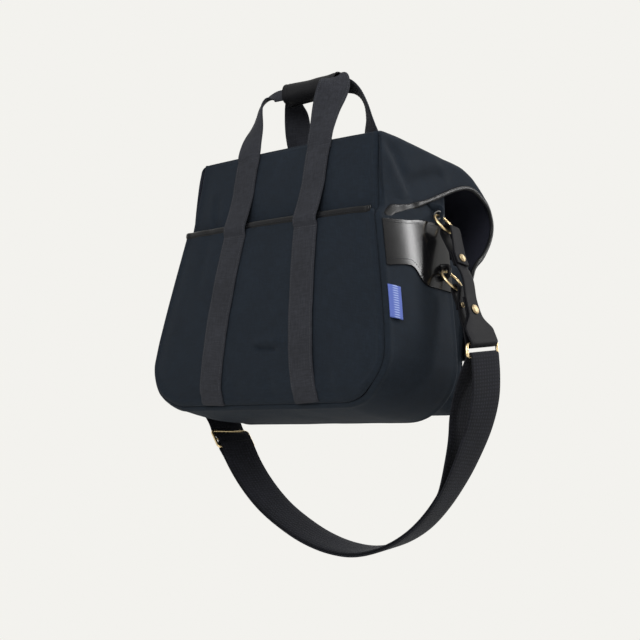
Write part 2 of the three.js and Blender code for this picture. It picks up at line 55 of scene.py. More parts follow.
# Heights below are in millimetres above the base, depths in millimetres from the plane at MID_Y.
BASE_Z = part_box("gusset_strip")[0].z
MID_Y = -0.015
SIDES = (("left", 1), ("right", -1))


def spot(x, y, z):
    """A point of the bag, in millimetres above its base, as a point of the frame in metres."""
    return np.array([x * MM, y * MM + MID_Y, z * MM + BASE_Z])


# ---------------------------------------------------------------- mesh helpers
def make_object(name, points, faces, uvs=None, materials=(), face_slots=None, smooth=True):
    mesh = bpy.data.meshes.new(name)
    mesh.from_pydata([tuple(p) for p in points], [], [tuple(f) for f in faces])
    if uvs is not None:
        layer = mesh.uv_layers.new(name="UVMap")
        loops = np.zeros(len(mesh.loops), dtype=np.int32)
        mesh.loops.foreach_get("vertex_index", loops)
        layer.data.foreach_set("uv", np.asarray(uvs, dtype=np.float32)[loops].ravel())
    for material in materials:
        mesh.materials.append(material)
    if face_slots is not None:
        mesh.polygons.foreach_set("material_index", np.asarray(face_slots, dtype=np.int32))
    mesh.polygons.foreach_set("use_smooth", np.full(len(mesh.polygons), smooth))
    mesh.update()
    obj = bpy.data.objects.new(name, mesh)
    scene.collection.objects.link(obj)
    return obj


def piece(obj, body, slot, *nodes):
    """Attaches a piece to the body it rides on (none where it is blended) and hides its CAD nodes; slot,
    its finish, is not used.
    """
    if body:
        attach(obj, body)
    if nodes:
        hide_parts(*nodes)
    return obj


def grid_faces(rows, cols, wrap_rows=False, wrap_cols=False, flip=False):
    faces = []
    for i in range(rows if wrap_rows else rows - 1):
        for j in range(cols if wrap_cols else cols - 1):
            a, b = i * cols + j, i * cols + (j + 1) % cols
            c, d = ((i + 1) % rows) * cols + (j + 1) % cols, ((i + 1) % rows) * cols + j
            faces.append((a, d, c, b) if flip else (a, b, c, d))
    return faces


def arc_uv(grid):
    """UVs in metres, measured along the grid's rows and columns."""
    rows, cols = grid.shape[:2]
    down_steps = np.linalg.norm(np.diff(grid, axis=0), axis=2)
    along_steps = np.linalg.norm(np.diff(grid, axis=1), axis=2)
    down = np.concatenate([np.zeros((1, cols)), np.cumsum(down_steps, 0)])
    along = np.concatenate([np.zeros((rows, 1)), np.cumsum(along_steps, 1)], 1)
    return np.stack([along, down], 2).reshape(-1, 2)


def sheet_object(name, grid, thickness, materials, flip=False, offset=-1.0):
    """A cloth or leather panel from a grid of points, with its thickness behind the grid."""
    rows, cols = grid.shape[:2]
    obj = make_object(name, grid.reshape(-1, 3), grid_faces(rows, cols, flip=flip), arc_uv(grid), materials)
    if thickness:
        solid = obj.modifiers.new("thickness", "SOLIDIFY")
        solid.thickness = thickness * MM
        solid.offset = offset
        if len(materials) > 1:
            solid.material_offset = 1
            solid.material_offset_rim = len(materials) - 1
    return obj


def resample(points, count):
    """Points spread evenly along a smooth curve through the given ones."""
    points = np.asarray(points, dtype=float)
    rows = []
    ends = np.vstack([2 * points[0] - points[1], points, 2 * points[-1] - points[-2]])
    for i in range(1, len(ends) - 2):
        p0, p1, p2, p3 = ends[i - 1], ends[i], ends[i + 1], ends[i + 2]
        knots = [0.0]
        for a, b in ((p0, p1), (p1, p2), (p2, p3)):
            knots.append(knots[-1] + max(np.linalg.norm(b - a), 1e-9) ** 0.5)
        t0, t1, t2, t3 = knots
        for t in np.linspace(t1, t2, 16, endpoint=False):
            a1 = (t1 - t) / (t1 - t0) * p0 + (t - t0) / (t1 - t0) * p1
            a2 = (t2 - t) / (t2 - t1) * p1 + (t - t1) / (t2 - t1) * p2
            a3 = (t3 - t) / (t3 - t2) * p2 + (t - t2) / (t3 - t2) * p3
            b1 = (t2 - t) / (t2 - t0) * a1 + (t - t0) / (t2 - t0) * a2
            b2 = (t3 - t) / (t3 - t1) * a2 + (t - t1) / (t3 - t1) * a3
            rows.append((t2 - t) / (t2 - t1) * b1 + (t - t1) / (t2 - t1) * b2)
    rows.append(points[-1])
    return even_points(np.array(rows), count)


def run_of(line):
    """The distance along a line to each of its points."""
    return np.concatenate([[0], np.cumsum(np.linalg.norm(np.diff(line, axis=0), axis=1))])


def even_points(line, count, closed=False):
    """Points spread evenly along a line; a closed one comes back to its start."""
    if closed:
        line = np.vstack([line, line[:1]])
    run = run_of(line)
    want = np.linspace(0, run[-1], count, endpoint=not closed)
    return np.stack([np.interp(want, run, line[:, k]) for k in range(line.shape[1])], 1)


def in_frame(flat):
    """A grid in millimetres above the base, as metres in the frame."""
    return np.stack([flat[:, :, 0] * MM, flat[:, :, 1] * MM + MID_Y, flat[:, :, 2] * MM + BASE_Z], 2)


def smoothed(values, reach):
    """A running mean over a number of neighbours on each side."""
    count = 2 * reach + 1
    return np.convolve(np.pad(values, reach, mode="edge"), np.ones(count) / count, "valid")


def line_length(points):
    return float(np.linalg.norm(np.diff(points, axis=0), axis=1).sum())


def unit(v):
    v = np.asarray(v, dtype=float)
    return v / np.maximum(np.linalg.norm(v, axis=-1, keepdims=True), 1e-12)


def tangents(line):
    ahead = np.gradient(line, axis=0)
    return unit(ahead)


def strap_section(half, thick, edge=5):
    """A flat strap's section: rounded edges, a faint crown."""
    r = thick / 2
    points = []
    for k in range(edge + 1):
        turn = -math.pi / 2 + math.pi * k / edge
        points.append((half - r + r * math.cos(turn), r * math.sin(turn)))
    for share in (0.5, 0.0, -0.5):
        points.append(((half - r) * share, r * 1.06))
    for k in range(edge + 1):
        turn = math.pi / 2 + math.pi * k / edge
        points.append((-half + r + r * math.cos(turn), r * math.sin(turn)))
    for share in (-0.5, 0.0, 0.5):
        points.append(((half - r) * share, -r * 1.06))
    return np.array(points)


def ribbon(name, line, wide, half, thick, materials, cup=0.0):
    """A strap along a line: wide is the direction of its width, half its half width, at each point."""
    count = len(line)
    ahead = tangents(line)
    wide = np.broadcast_to(np.asarray(wide, dtype=float), (count, 3))
    wide = unit(wide - (wide * ahead).sum(1, keepdims=True) * ahead)
    up = np.cross(ahead, wide)
    half = np.broadcast_to(np.asarray(half, dtype=float), (count,))
    run = run_of(line)
    points, uvs = [], []
    for i in range(count):
        section = strap_section(half[i], thick)
        lift = cup * (section[:, 0] / half[i]) ** 2
        points.append(line[i] + np.outer(section[:, 0], wide[i]) + np.outer(section[:, 1] + lift, up[i]))
        uvs.append(np.stack([section[:, 0], np.full(len(section), run[i])], 1))
    cols = len(points[0])
    faces = grid_faces(count, cols, wrap_cols=True, flip=True)
    faces.append(tuple(range(cols)))
    faces.append(tuple(reversed(range((count - 1) * cols, count * cols))))
    return make_object(name, np.vstack(points), faces, np.vstack(uvs), materials)


def tube(name, line, radius, materials, sides=12, closed=False):
    """A round wire or cord along a line."""
    count = len(line)
    if closed:
        ahead = unit(np.roll(line, -1, 0) - np.roll(line, 1, 0))
    else:
        ahead = tangents(line)
    up = np.zeros((count, 3))
    first = np.cross(ahead[0], [0.3, 0.9, 0.2])
    up[0] = unit(first)
    for i in range(1, count):
        v = up[i - 1] - ahead[i] * (up[i - 1] @ ahead[i])
        up[i] = unit(v)
    side = np.cross(ahead, up)
    radius = np.broadcast_to(np.asarray(radius, dtype=float), (count,))
    turn = np.linspace(0, 2 * math.pi, sides, endpoint=False)
    ring = line[:, None] + radius[:, None, None] * (
        np.cos(turn)[None, :, None] * up[:, None] + np.sin(turn)[None, :, None] * side[:, None])
    run = run_of(line)
    uvs = np.stack([np.tile(turn * radius.mean(), count), np.repeat(run, sides)], 1)
    faces = grid_faces(count, sides, wrap_rows=closed, wrap_cols=True)
    if not closed:
        faces.append(tuple(reversed(range(sides))))
        faces.append(tuple(range((count - 1) * sides, count * sides)))
    return make_object(name, ring.reshape(-1, 3), faces, uvs, materials)


def lathe(name, profile, centre, axis, materials, steps=32):
    """A turned piece: profile is (radius, height) from the axis out and back to it, in metres."""
    axis = unit(axis)
    side = unit(np.cross(axis, [0.31, 0.57, 0.76]))
    other = np.cross(axis, side)
    turn = np.linspace(0, 2 * math.pi, steps, endpoint=False)
    ring = np.cos(turn)[:, None] * side + np.sin(turn)[:, None] * other
    profile = np.asarray(profile, dtype=float)
    inner = profile[1:-1]
    points = [centre + axis * profile[0][1]]
    for r, h in inner:
        points.extend(centre + axis * h + ring * r)
    points.append(centre + axis * profile[-1][1])
    faces = []
    for i in range(len(inner) - 1):
        for j in range(steps):
            a, b = 1 + i * steps + j, 1 + i * steps + (j + 1) % steps
            faces.append((a, b, b + steps, a + steps))
    last = len(points) - 1
    top = 1 + (len(inner) - 1) * steps
    for j in range(steps):
        k = (j + 1) % steps
        faces.append((0, 1 + k, 1 + j))
        faces.append((last, top + j, top + k))
    return make_object(name, np.array(points), faces, None, materials)


def join(name, objects):
    """Makes one mesh object of several."""
    points, faces, slots, uvs, materials = [], [], [], [], []
    start = 0
    for obj in objects:
        mesh = obj.data
        lookup = []
        for material in mesh.materials:
            if material not in materials:
                materials.append(material)
            lookup.append(materials.index(material))
        points.extend(tuple(v.co) for v in mesh.vertices)
        layer = mesh.uv_layers.active
        for poly in mesh.polygons:
            faces.append(tuple(start + v for v in poly.vertices))
            slots.append(lookup[poly.material_index] if lookup else 0)
            uvs.extend(tuple(layer.data[k].uv) if layer else (0.0, 0.0) for k in poly.loop_indices)
        start += len(mesh.vertices)
    for obj in objects:
        mesh = obj.data
        bpy.data.objects.remove(obj)
        bpy.data.meshes.remove(mesh)
    made = make_object(name, points, faces, None, materials, slots)
    layer = made.data.uv_layers.new(name="UVMap")
    layer.data.foreach_set("uv", np.array(uvs, dtype=np.float32).ravel())
    return made


def stitches(name, line, up, material, pitch=3.2, length=2.1, radius=0.32, lift=0.12):
    """A row of short thread stitches along a line; up is the surface's own direction at each point."""
    total = line_length(line)
    run = run_of(line)
    count = max(int(total / (pitch * MM)), 1)
    up = np.broadcast_to(np.asarray(up, dtype=float), line.shape)
    shape = [(-0.5, 0.25, -0.3), (-0.32, 1.0, 0.55), (0.0, 1.05, 1.0), (0.32, 1.0, 0.55), (0.5, 0.25, -0.3)]
    points, faces = [], []
    sides = 6
    for n in range(count):
        mid = (n + 0.5) * total / count
        at = np.array([np.interp(mid, run, line[:, k]) for k in range(3)])
        ahead_at = np.array([np.interp(mid + 1e-4, run, line[:, k]) for k in range(3)])
        if np.linalg.norm(ahead_at - at) < 1e-9:
            ahead_at = at + (at - np.array([np.interp(mid - 1e-4, run, line[:, k]) for k in range(3)]))
        ahead = unit(ahead_at - at)
        normal = unit(np.array([np.interp(mid, run, up[:, k]) for k in range(3)]))
        side = np.cross(normal, ahead)
        start = len(points)
        for s, r, h in shape:
            middle = at + ahead * s * length * MM + normal * h * lift * MM
            for k in range(sides):
                turn = 2 * math.pi * k / sides
                outwards = math.cos(turn) * side + 0.8 * math.sin(turn) * normal
                points.append(middle + radius * r * MM * outwards)
        for i in range(len(shape) - 1):
            for k in range(sides):
                a, b = start + i * sides + k, start + i * sides + (k + 1) % sides
                faces.append((a, a + sides, b + sides, b))
        faces.append(tuple(start + k for k in range(sides)))
        faces.append(tuple(start + (len(shape) - 1) * sides + k for k in reversed(range(sides))))
    return make_object(name, points, faces, None, [material])


# ---------------------------------------------------------------- materials
def new_material(name):
    material = bpy.data.materials.new(name)
    material.use_nodes = True
    tree = material.node_tree
    return material, tree, tree.nodes["Principled BSDF"]


def mixed(tree, low, high, factor):
    mix = tree.nodes.new("ShaderNodeMix")
    mix.data_type = "RGBA"
    mix.inputs["A"].default_value = (*low, 1)
    mix.inputs["B"].default_value = (*high, 1)
    tree.links.new(factor, mix.inputs["Factor"])
    return mix.outputs["Result"]


def noise_node(tree, coordinates, scale, detail=4, roughness=0.6):
    node = tree.nodes.new("ShaderNodeTexNoise")
    node.inputs["Scale"].default_value = scale
    node.inputs["Detail"].default_value = detail
    node.inputs["Roughness"].default_value = roughness
    tree.links.new(coordinates, node.inputs["Vector"])
    return node.outputs["Fac"]


def maths(tree, operation, a, b):
    node = tree.nodes.new("ShaderNodeMath")
    node.operation = operation
    for k, value in enumerate((a, b)):
        if isinstance(value, (int, float)):
            node.inputs[k].default_value = value
        else:
            tree.links.new(value, node.inputs[k])
    return node.outputs[0]


def wave(tree, coordinates, scale, direction):
    node = tree.nodes.new("ShaderNodeTexWave")
    node.wave_type = "BANDS"
    node.bands_direction = direction
    node.inputs["Scale"].default_value = scale
    node.inputs["Distortion"].default_value = 0.0
    tree.links.new(coordinates, node.inputs["Vector"])
    return node.outputs["Fac"]


def ramp(tree, factor, low, high, out_low=0.0, out_high=1.0):
    node = tree.nodes.new("ShaderNodeMapRange")
    ends = {"From Min": low, "From Max": high, "To Min": out_low, "To Max": out_high}
    for key, value in ends.items():
        node.inputs[key].default_value = value
    tree.links.new(factor, node.inputs["Value"])
    return node.outputs["Result"]


def bump(tree, shader, height, strength, distance):
    node = tree.nodes.new("ShaderNodeBump")
    node.inputs["Strength"].default_value = strength
    node.inputs["Distance"].default_value = distance
    tree.links.new(height, node.inputs["Height"])
    tree.links.new(node.outputs["Normal"], shader.inputs["Normal"])


def cloth_material(name, colour, weave, rib=None, sheen=0.25, roughness=0.85, shade=0.16, depth=0.00012):
    """Woven cloth: threads along both ways of the piece's own UVs, uneven dye and a soft sheen."""
    material, tree, shader = new_material(name)
    uv = tree.nodes.new("ShaderNodeUVMap").outputs["UV"]
    place = tree.nodes.new("ShaderNodeTexCoord").outputs["Object"]
    warp = wave(tree, uv, weave[0], "X")
    weft = wave(tree, uv, weave[1], "Y")
    cloth = maths(tree, "MULTIPLY", warp, weft)
    if rib:
        cloth = maths(tree, "ADD", cloth, maths(tree, "MULTIPLY", wave(tree, uv, rib[0], rib[1]), rib[2]))
    dye = noise_node(tree, place, 26, 5, 0.6)
    fine = noise_node(tree, place, 900, 2, 0.5)
    yarns = []
    for stretch in ((70, 620, 1), (620, 70, 1)):
        turn = tree.nodes.new("ShaderNodeMapping")
        turn.inputs["Scale"].default_value = stretch
        tree.links.new(uv, turn.inputs["Vector"])
        yarns.append(noise_node(tree, turn.outputs["Vector"], 1.0, 2, 0.5))
    slub = maths(tree, "MULTIPLY", maths(tree, "ADD", *yarns), 0.5)
    slub = ramp(tree, slub, 0.36, 0.64)
    dye = maths(tree, "ADD", maths(tree, "MULTIPLY", dye, 0.55), maths(tree, "MULTIPLY", slub, 0.45))
    tone = maths(tree, "ADD", maths(tree, "MULTIPLY", cloth, 0.35), maths(tree, "MULTIPLY", dye, 0.65))
    low = [c * (1 - shade) for c in colour]
    high = [min(c * (1 + shade), 1) for c in colour]
    tree.links.new(mixed(tree, low, high, ramp(tree, tone, 0.25, 0.75)), shader.inputs["Base Color"])
    rough = ramp(tree, dye, 0.3, 0.7, roughness - 0.06, min(roughness + 0.08, 1))
    tree.links.new(rough, shader.inputs["Roughness"])
    shader.inputs["Sheen Weight"].default_value = sheen
    shader.inputs["Sheen Roughness"].default_value = 0.5
    shader.inputs["Sheen Tint"].default_value = (0.75, 0.8, 0.9, 1)
    shader.inputs["Specular IOR Level"].default_value = 0.1
    height = maths(tree, "ADD", cloth, maths(tree, "MULTIPLY", fine, 0.5))
    bump(tree, shader, height, 0.6, depth)
    return material


def leather_material(name, colour, roughness=0.3, grain=420, wear=1.0, polish=0.5):
    """Black bridle leather: fine pores, a waxed surface and slightly paler, drier rubbed places."""
    material, tree, shader = new_material(name)
    place = tree.nodes.new("ShaderNodeTexCoord").outputs["Object"]
    pores = tree.nodes.new("ShaderNodeTexVoronoi")
    pores.inputs["Scale"].default_value = grain
    tree.links.new(place, pores.inputs["Vector"])
    rub = noise_node(tree, place, 38, 6, 0.65)
    fine = noise_node(tree, place, 1400, 2, 0.6)
    low = [c * (1 - 0.25 * wear) for c in colour]
    high = [c * (1 + 0.7 * wear) for c in colour]
    tree.links.new(mixed(tree, low, high, ramp(tree, rub, 0.35, 0.75)), shader.inputs["Base Color"])
    rough = ramp(tree, rub, 0.3, 0.7, roughness - 0.05 * wear, roughness + 0.09 * wear)
    tree.links.new(rough, shader.inputs["Roughness"])
    shader.inputs["Specular IOR Level"].default_value = polish
    height = maths(tree, "ADD", pores.outputs["Distance"], maths(tree, "MULTIPLY", fine, 0.35))
    bump(tree, shader, height, 0.02 + 0.2 * wear, 0.00012)
    return material


def label_material(name, ground, bar):
    """A woven label: a blue ground with one column of plain paler bars."""
    material, tree, shader = new_material(name)
    uv = tree.nodes.new("ShaderNodeUVMap").outputs["UV"]
    across = tree.nodes.new("ShaderNodeSeparateXYZ")
    tree.links.new(uv, across.inputs["Vector"])
    gap = maths(tree, "ABSOLUTE", maths(tree, "SUBTRACT", across.outputs["X"], 0.0098), 0.0)
    column = ramp(tree, gap, 0.0048, 0.0022)
    bars = ramp(tree, wave(tree, uv, 110, "Y"), 0.25, 0.85)
    woven = mixed(tree, ground, bar, maths(tree, "MULTIPLY", column, bars))
    tree.links.new(woven, shader.inputs["Base Color"])
    shader.inputs["Roughness"].default_value = 0.75
    shader.inputs["Specular IOR Level"].default_value = 0.25
    threads = maths(tree, "MULTIPLY", wave(tree, uv, 900, "X"), wave(tree, uv, 900, "Y"))
    bump(tree, shader, threads, 0.5, 0.00006)
    return material


def brass_material(name, colour, roughness=0.22):
    """Brass with a light brown patina in patches and fine rubbing marks."""
    material, tree, shader = new_material(name)
    place = tree.nodes.new("ShaderNodeTexCoord").outputs["Object"]
    patina = noise_node(tree, place, 240, 5, 0.65)
    marks = noise_node(tree, place, 2600, 2, 0.5)
    dark = [c * 0.45 for c in colour]
    tree.links.new(mixed(tree, colour, dark, ramp(tree, patina, 0.52, 0.78)), shader.inputs["Base Color"])
    tree.links.new(ramp(tree, patina, 0.3, 0.7, roughness, roughness + 0.2), shader.inputs["Roughness"])
    shader.inputs["Metallic"].default_value = 1.0
    bump(tree, shader, marks, 0.08, 0.00005)
    return material


CANVAS = cloth_material("navy_canvas", (0.0104, 0.0148, 0.0218), (420, 420), None, 0.02, 0.88, 0.34)
LINING = cloth_material("black_lining", (0.0180, 0.0190, 0.0290), (700, 700), None, 0.02, 0.7, 0.1, 0.00005)
WEBBING = cloth_material("charcoal_webbing", (0.0252, 0.0266, 0.0330), (330, 240), None,
                         0.02, 0.85, 0.42, 0.0003)
STRAP_WEBBING = cloth_material("strap_webbing", (0.0106, 0.0112, 0.0150), (66, 76), None,
                               0.02, 0.85, 0.5, 0.00035)
LEATHER = leather_material("black_bridle_leather", (0.0046, 0.0046, 0.0054), 0.17, 700, 0.08, 0.13)
GRIP_LEATHER = leather_material("grip_leather", (0.0062, 0.0063, 0.0078), 0.52, 300, 0.5, 0.12)
EDGE_LEATHER = leather_material("binding_leather", (0.0048, 0.0051, 0.0062), 0.30, 520, 0.4, 0.15)
STRAP_LEATHER = leather_material("dull_strap_leather", (0.0056, 0.0057, 0.0072), 0.5, 380, 0.5, 0.05)
EYELET = brass_material("dull_nickel_eyelet", (0.20, 0.20, 0.20), 0.5)
BRASS = brass_material("patinated_brass", (0.74, 0.58, 0.33))
RIVET_BRASS = brass_material("worn_rivet_brass", (0.42, 0.33, 0.20), 0.42)
THREAD = cloth_material("black_thread", (0.012, 0.012, 0.014), (2000, 2000), None, 0.1, 0.6, 0.1, 0.00002)
THREAD_PALE = cloth_material("grey_thread", (0.045, 0.046, 0.052), (2000, 2000), None,
                             0.1, 0.6, 0.1, 0.00002)
LABEL = label_material("blue_woven_label", (0.075, 0.112, 0.36), (0.24, 0.30, 0.54))
BOARD = cloth_material("base_board_fibre", (0.03, 0.028, 0.026), (300, 300), None, 0.0, 0.9, 0.2, 0.00005)


# ---------------------------------------------------------------- camera, floor and lights
CAMERA_TURN = (224.1, -10.9, 5.6)  # azimuth, tilt and roll in degrees
CAMERA_DISTANCE = 1.656
CAMERA_LENS = 75.94


def add_camera():
    azimuth, tilt, roll = (math.radians(angle) for angle in CAMERA_TURN)
    back = Vector((math.sin(azimuth) * math.cos(tilt), -math.cos(azimuth) * math.cos(tilt), math.sin(tilt)))
    right = Vector((0, 0, 1)).cross(back).normalized()
    up = back.cross(right)
    across = right * math.cos(roll) + up * math.sin(roll)
    above = up * math.cos(roll) - right * math.sin(roll)
    target = Vector(spot(-28.4, 0, 117.1))
    data = bpy.data.cameras.new("camera")
    data.lens = CAMERA_LENS
    data.sensor_width = 36
    camera = bpy.data.objects.new("camera", data)
    turn = Matrix((across, above, back)).transposed().to_4x4()
    camera.matrix_world = Matrix.Translation(target + back * CAMERA_DISTANCE) @ turn
    scene.collection.objects.link(camera)
    scene.camera = camera


def add_light(name, aim, distance, size, power, colour=(1, 1, 1), target=(0, 0, 140)):
    """A soft lamp: aim is the direction from the bag to the lamp."""
    data = bpy.data.lights.new(name, "AREA")
    data.shape = "RECTANGLE"
    data.size, data.size_y = size
    data.energy = power
    data.color = colour
    lamp = bpy.data.objects.new(name, data)
    middle = Vector(spot(*target))
    lamp.location = middle + Vector(aim).normalized() * distance
    lamp.rotation_euler = (middle - lamp.location).to_track_quat("-Z", "Y").to_euler()
    scene.collection.objects.link(lamp)
    return lamp


def add_studio():
    world = bpy.data.worlds.new("studio")
    world.use_nodes = True
    scene.world = world
    tree = world.node_tree
    shade = tree.nodes["Background"]
    shade.inputs["Color"].default_value = (0.896, 0.888, 0.855, 1)
    # The studio is pale all round and above, and dim below the horizon, so that the underside is in shade.
    height = tree.nodes.new("ShaderNodeSeparateXYZ")
    tree.links.new(tree.nodes.new("ShaderNodeTexCoord").outputs["Generated"], height.inputs["Vector"])
    strength = ramp(tree, height.outputs["Z"], -0.34, -0.08, 0.2, 1.0)
    tree.links.new(strength, shade.inputs["Strength"])
    add_light("key_lamp", (-0.35, 0.9, 0.4), 1.25, (0.7, 0.7), 9.5, target=(-120, 0, 250))
    add_light("side_strip", (-0.512, -0.687, 0.516), 1.5, (0.10, 1.3), 16.0, target=(-172, 17, 190))
    add_light("front_fill", (0.5, -0.9, 0.5), 2.6, (1.5, 1.5), 12)
    floor_z = -1.25
    material, tree, shader = new_material("pale_floor")
    place = tree.nodes.new("ShaderNodeTexCoord").outputs["Object"]
    grain = noise_node(tree, place, 3.0, 3, 0.5)
    tree.links.new(mixed(tree, (0.86, 0.85, 0.82), (0.9, 0.89, 0.86), grain), shader.inputs["Base Color"])
    shader.inputs["Roughness"].default_value = 0.95
    half = 2.6
    steps = 13
    line = np.linspace(-half, half, steps)
    grid = np.array([[(x, y, floor_z) for x in line] for y in line])
    floor = make_object("floor", grid.reshape(-1, 3), grid_faces(steps, steps), None, [material])


# ---------------------------------------------------------------- shoulder strap
WEB_THICK = 2.4
WEB_HALF = 19
WEB_SEAM = 16.4  # how far the stitches lie from the webbing's middle
STRAP_Y = -40
STRAP_TILT = 0.25  # rise of the strap's front edge against its rear edge, for each unit of its width
# The strap's two strands, as x and height above the base in metres. They are the part's own route, except
# that the ends are 4 mm higher, where the leaning loops are.
STRAP_ROUTE = [
    (-0.2530, 0.071), (-0.257, 0.046), (-0.258, 0.020), (-0.2525, -0.010), (-0.2415, -0.040),
    (-0.2265, -0.072), (-0.206, -0.103), (-0.178, -0.130), (-0.142, -0.149), (-0.102, -0.158),
    (-0.062, -0.156), (-0.020, -0.146), (0.020, -0.130), (0.058, -0.110), (0.092, -0.085),
    (0.122, -0.056), (0.148, -0.023), (0.172, 0.003), (0.200, 0.026), (0.228, 0.046),
    (0.2464, 0.0645),
]
RETURN_ROUTE = [
    (-0.2458, 0.071), (-0.238, 0.050), (-0.2315, 0.025), (-0.2285, 0.000), (-0.2275, -0.025),
    (-0.224, -0.050),
]
STRAP_WIDE = 0.050
STRAP_THICK = 0.0024
SLIDER_SHARE = 0.82


def strap_line(route, count):
    points = [(x, STRAP_Y * MM + MID_Y, z + BASE_Z) for x, z in route]
    return resample(points, count)


def inward(line):
    """The direction across a strand, towards the inside of the strap's loop."""
    ahead = tangents(line)
    return unit(np.cross(ahead, np.array([0.0, 1.0, 0.0])))


def strap_wide(line):
    """The strap's width direction: it twists so that its front edge rides higher under the bag."""
    depth = (line[:, 2] - BASE_Z) / MM
    twist = np.radians(15.5) * smooth_step(20, -110, depth)
    away = line[:, 0] > 0
    twist = np.where(away, np.radians(15.5) * smooth_step(45, -60, depth), twist)
    across = inward(line)
    return np.cos(twist)[:, None] * np.array([0, 1, 0]) - np.sin(twist)[:, None] * across


def smooth_step(low, high, value):
    t = np.clip((np.asarray(value, dtype=float) - low) / (high - low), 0, 1)
    return t * t * (3 - 2 * t)


def add_strap():
    webbing = [STRAP_WEBBING]
    route = strap_line(STRAP_ROUTE, 150)
    across = inward(route)
    run = run_of(route)
    middle = SLIDER_SHARE * run[-1]
    # The strap goes under the slider's outer bars and over its middle bar.
    places = [-34, -22, -13, 0, 13, 22, 34]
    weave = np.interp((run - middle) / MM, places, [0, -1.2, -3.4, 3.3, -3.4, -1.2, 0])
    soft = np.convolve(np.pad(weave, 1, mode="edge"), [0.2, 0.6, 0.2], "valid")
    woven = route + across * soft[:, None] * MM
    near_bar = spot(-249.4, STRAP_Y, 71)
    far_bar = spot(249.4, STRAP_Y, 71)
    start = [near_bar + np.array([0, 0, 3.3]) * MM, near_bar + np.array([-2.5, 0, 2.2]) * MM]
    turn = [(2.9, -2.2), (3.6, 0.4), (1.6, 3.2), (-1.9, 3.3), (-4.9, 1.3)]
    wrap = [far_bar + np.array([x, 0, z]) * MM for x, z in turn]
    stub = (route + across * 2.9 * MM)[-13:-2][::-1]
    ends = resample(np.vstack([woven[-4:-1], wrap, stub[:1]]), 30)
    line = np.vstack([start, woven[:-4], ends, stub[1:]])
    # The twist dies away towards both loops.
    wide = strap_wide(line)
    strap = ribbon("shoulder_strap_webbing", line, wide, STRAP_WIDE / 2, STRAP_THICK, webbing, cup=0.0)
    piece(hang_object(strap), "root", "strap_webbing", "shoulder_strap")

    layered = (route + across * 2.75 * MM)
    depth = (route[:, 2] - BASE_Z) / MM
    join_at = int(np.argmax(depth < -86))
    stop = int(np.argmax(run > middle - 2 * MM))
    free = strap_line(RETURN_ROUTE, 40)
    bridge = resample(np.vstack([free[::6], layered[join_at:join_at + 3]]), 44)
    top = [near_bar + np.array([0, 0, 3.3]) * MM, near_bar + np.array([2.5, 0, 2.2]) * MM]
    back_line = np.vstack([top, bridge, layered[join_at + 3:stop]])
    inner = ribbon("shoulder_strap_return", back_line, strap_wide(back_line), STRAP_WIDE / 2 - 0.0005,
                   STRAP_THICK, webbing)
    piece(hang_object(inner), "root", "strap_webbing", "strap_return")
    return route, across, run, middle, line, back_line, strap, inner


def wire_rect(name, centre, across, along, half_wide, half_tall, radius, corner, materials):
    """A rounded rectangular loop of wire: across and along are the directions of its two sides."""
    path = []
    for sx, sz, start in ((1, 1, 0), (-1, 1, 1), (-1, -1, 2), (1, -1, 3)):
        for i in range(9):
            turn = math.pi / 2 * (start + i / 8)
            a = sx * (half_wide - corner) + corner * math.cos(turn)
            b = sz * (half_tall - corner) + corner * math.sin(turn)
            path.append(centre + across * a * MM + along * b * MM)
    path = np.array(path)
    dense = []
    for i in range(len(path)):
        a, b = path[i], path[(i + 1) % len(path)]
        steps = max(int(np.linalg.norm(b - a) / 0.002), 1)
        dense.extend(a + (b - a) * k / steps for k in range(steps))
    return tube(name, np.array(dense), radius * MM, materials, sides=16, closed=True)


def add_slider(route, across, run, middle):
    at = int(np.argmin(abs(run - middle)))
    centre = route[at] - across[at] * 0.5 * MM
    ahead = tangents(route)[at]
    wide = strap_wide(route)[at]
    wide = unit(wide - ahead * (wide @ ahead))
    frame_wire = wire_rect("slider_frame", centre, wide, ahead, 28.2, 13.2, 1.75, 3.6, [BRASS])
    bar_line = np.array([centre + wide * s * MM for s in np.linspace(-28, 28, 20)])
    bar = tube("slider_bar", bar_line, 1.6 * MM, [BRASS], sides=14)
    slider = join("strap_slider_frame", [frame_wire, bar])
    piece(slider, "root", "brass_hardware", "strap_slider")
    return slider


# ---------------------------------------------------------------- body
CORNER_Z = 58.0  # the height at which the round lower corner ends
FLAT_HALF = 134.0  # half the width of the flat base between the corners
CORNER_OUT = 64.0  # how far a corner reaches out from there
OPEN_TOP = 400.0  # the outline is carried on past the open top, which has no seam
GUSSET_TOP = 300.0


def half_width(z):
    """Half the body's width at a height above the base."""
    z = np.asarray(z, dtype=float)
    upper = np.interp(z, [58, 85, 120, 170, 225, 275, 322], [198, 194.5, 187.5, 176.5, 163.5, 157.0, 153.5])
    drop = np.clip((CORNER_Z - z) / CORNER_Z, 0, 1)
    lower = FLAT_HALF + CORNER_OUT * np.sqrt(np.maximum(1 - drop ** 2, 0))
    return np.where(z < CORNER_Z, lower, upper)


SEAM = 3.0  # the canvas turns in this far to each seam, from both sides


def inset_width(z):
    """Half the width of a panel, whose edge lies inside the outline by the depth of the seam."""
    z = np.asarray(z, dtype=float)
    drop = np.clip((CORNER_Z - z) / (CORNER_Z - SEAM), 0, 1)
    corner = FLAT_HALF + (CORNER_OUT - SEAM) * np.sqrt(np.maximum(1 - drop ** 2, 0))
    return np.where(z < CORNER_Z, corner, half_width(z) - SEAM)


TOP_Z = 322.0
POCKET_Z = 225.0
REAR_Y = 68.5
BACK_Y = 60.5
FRONT_Y = -66.5


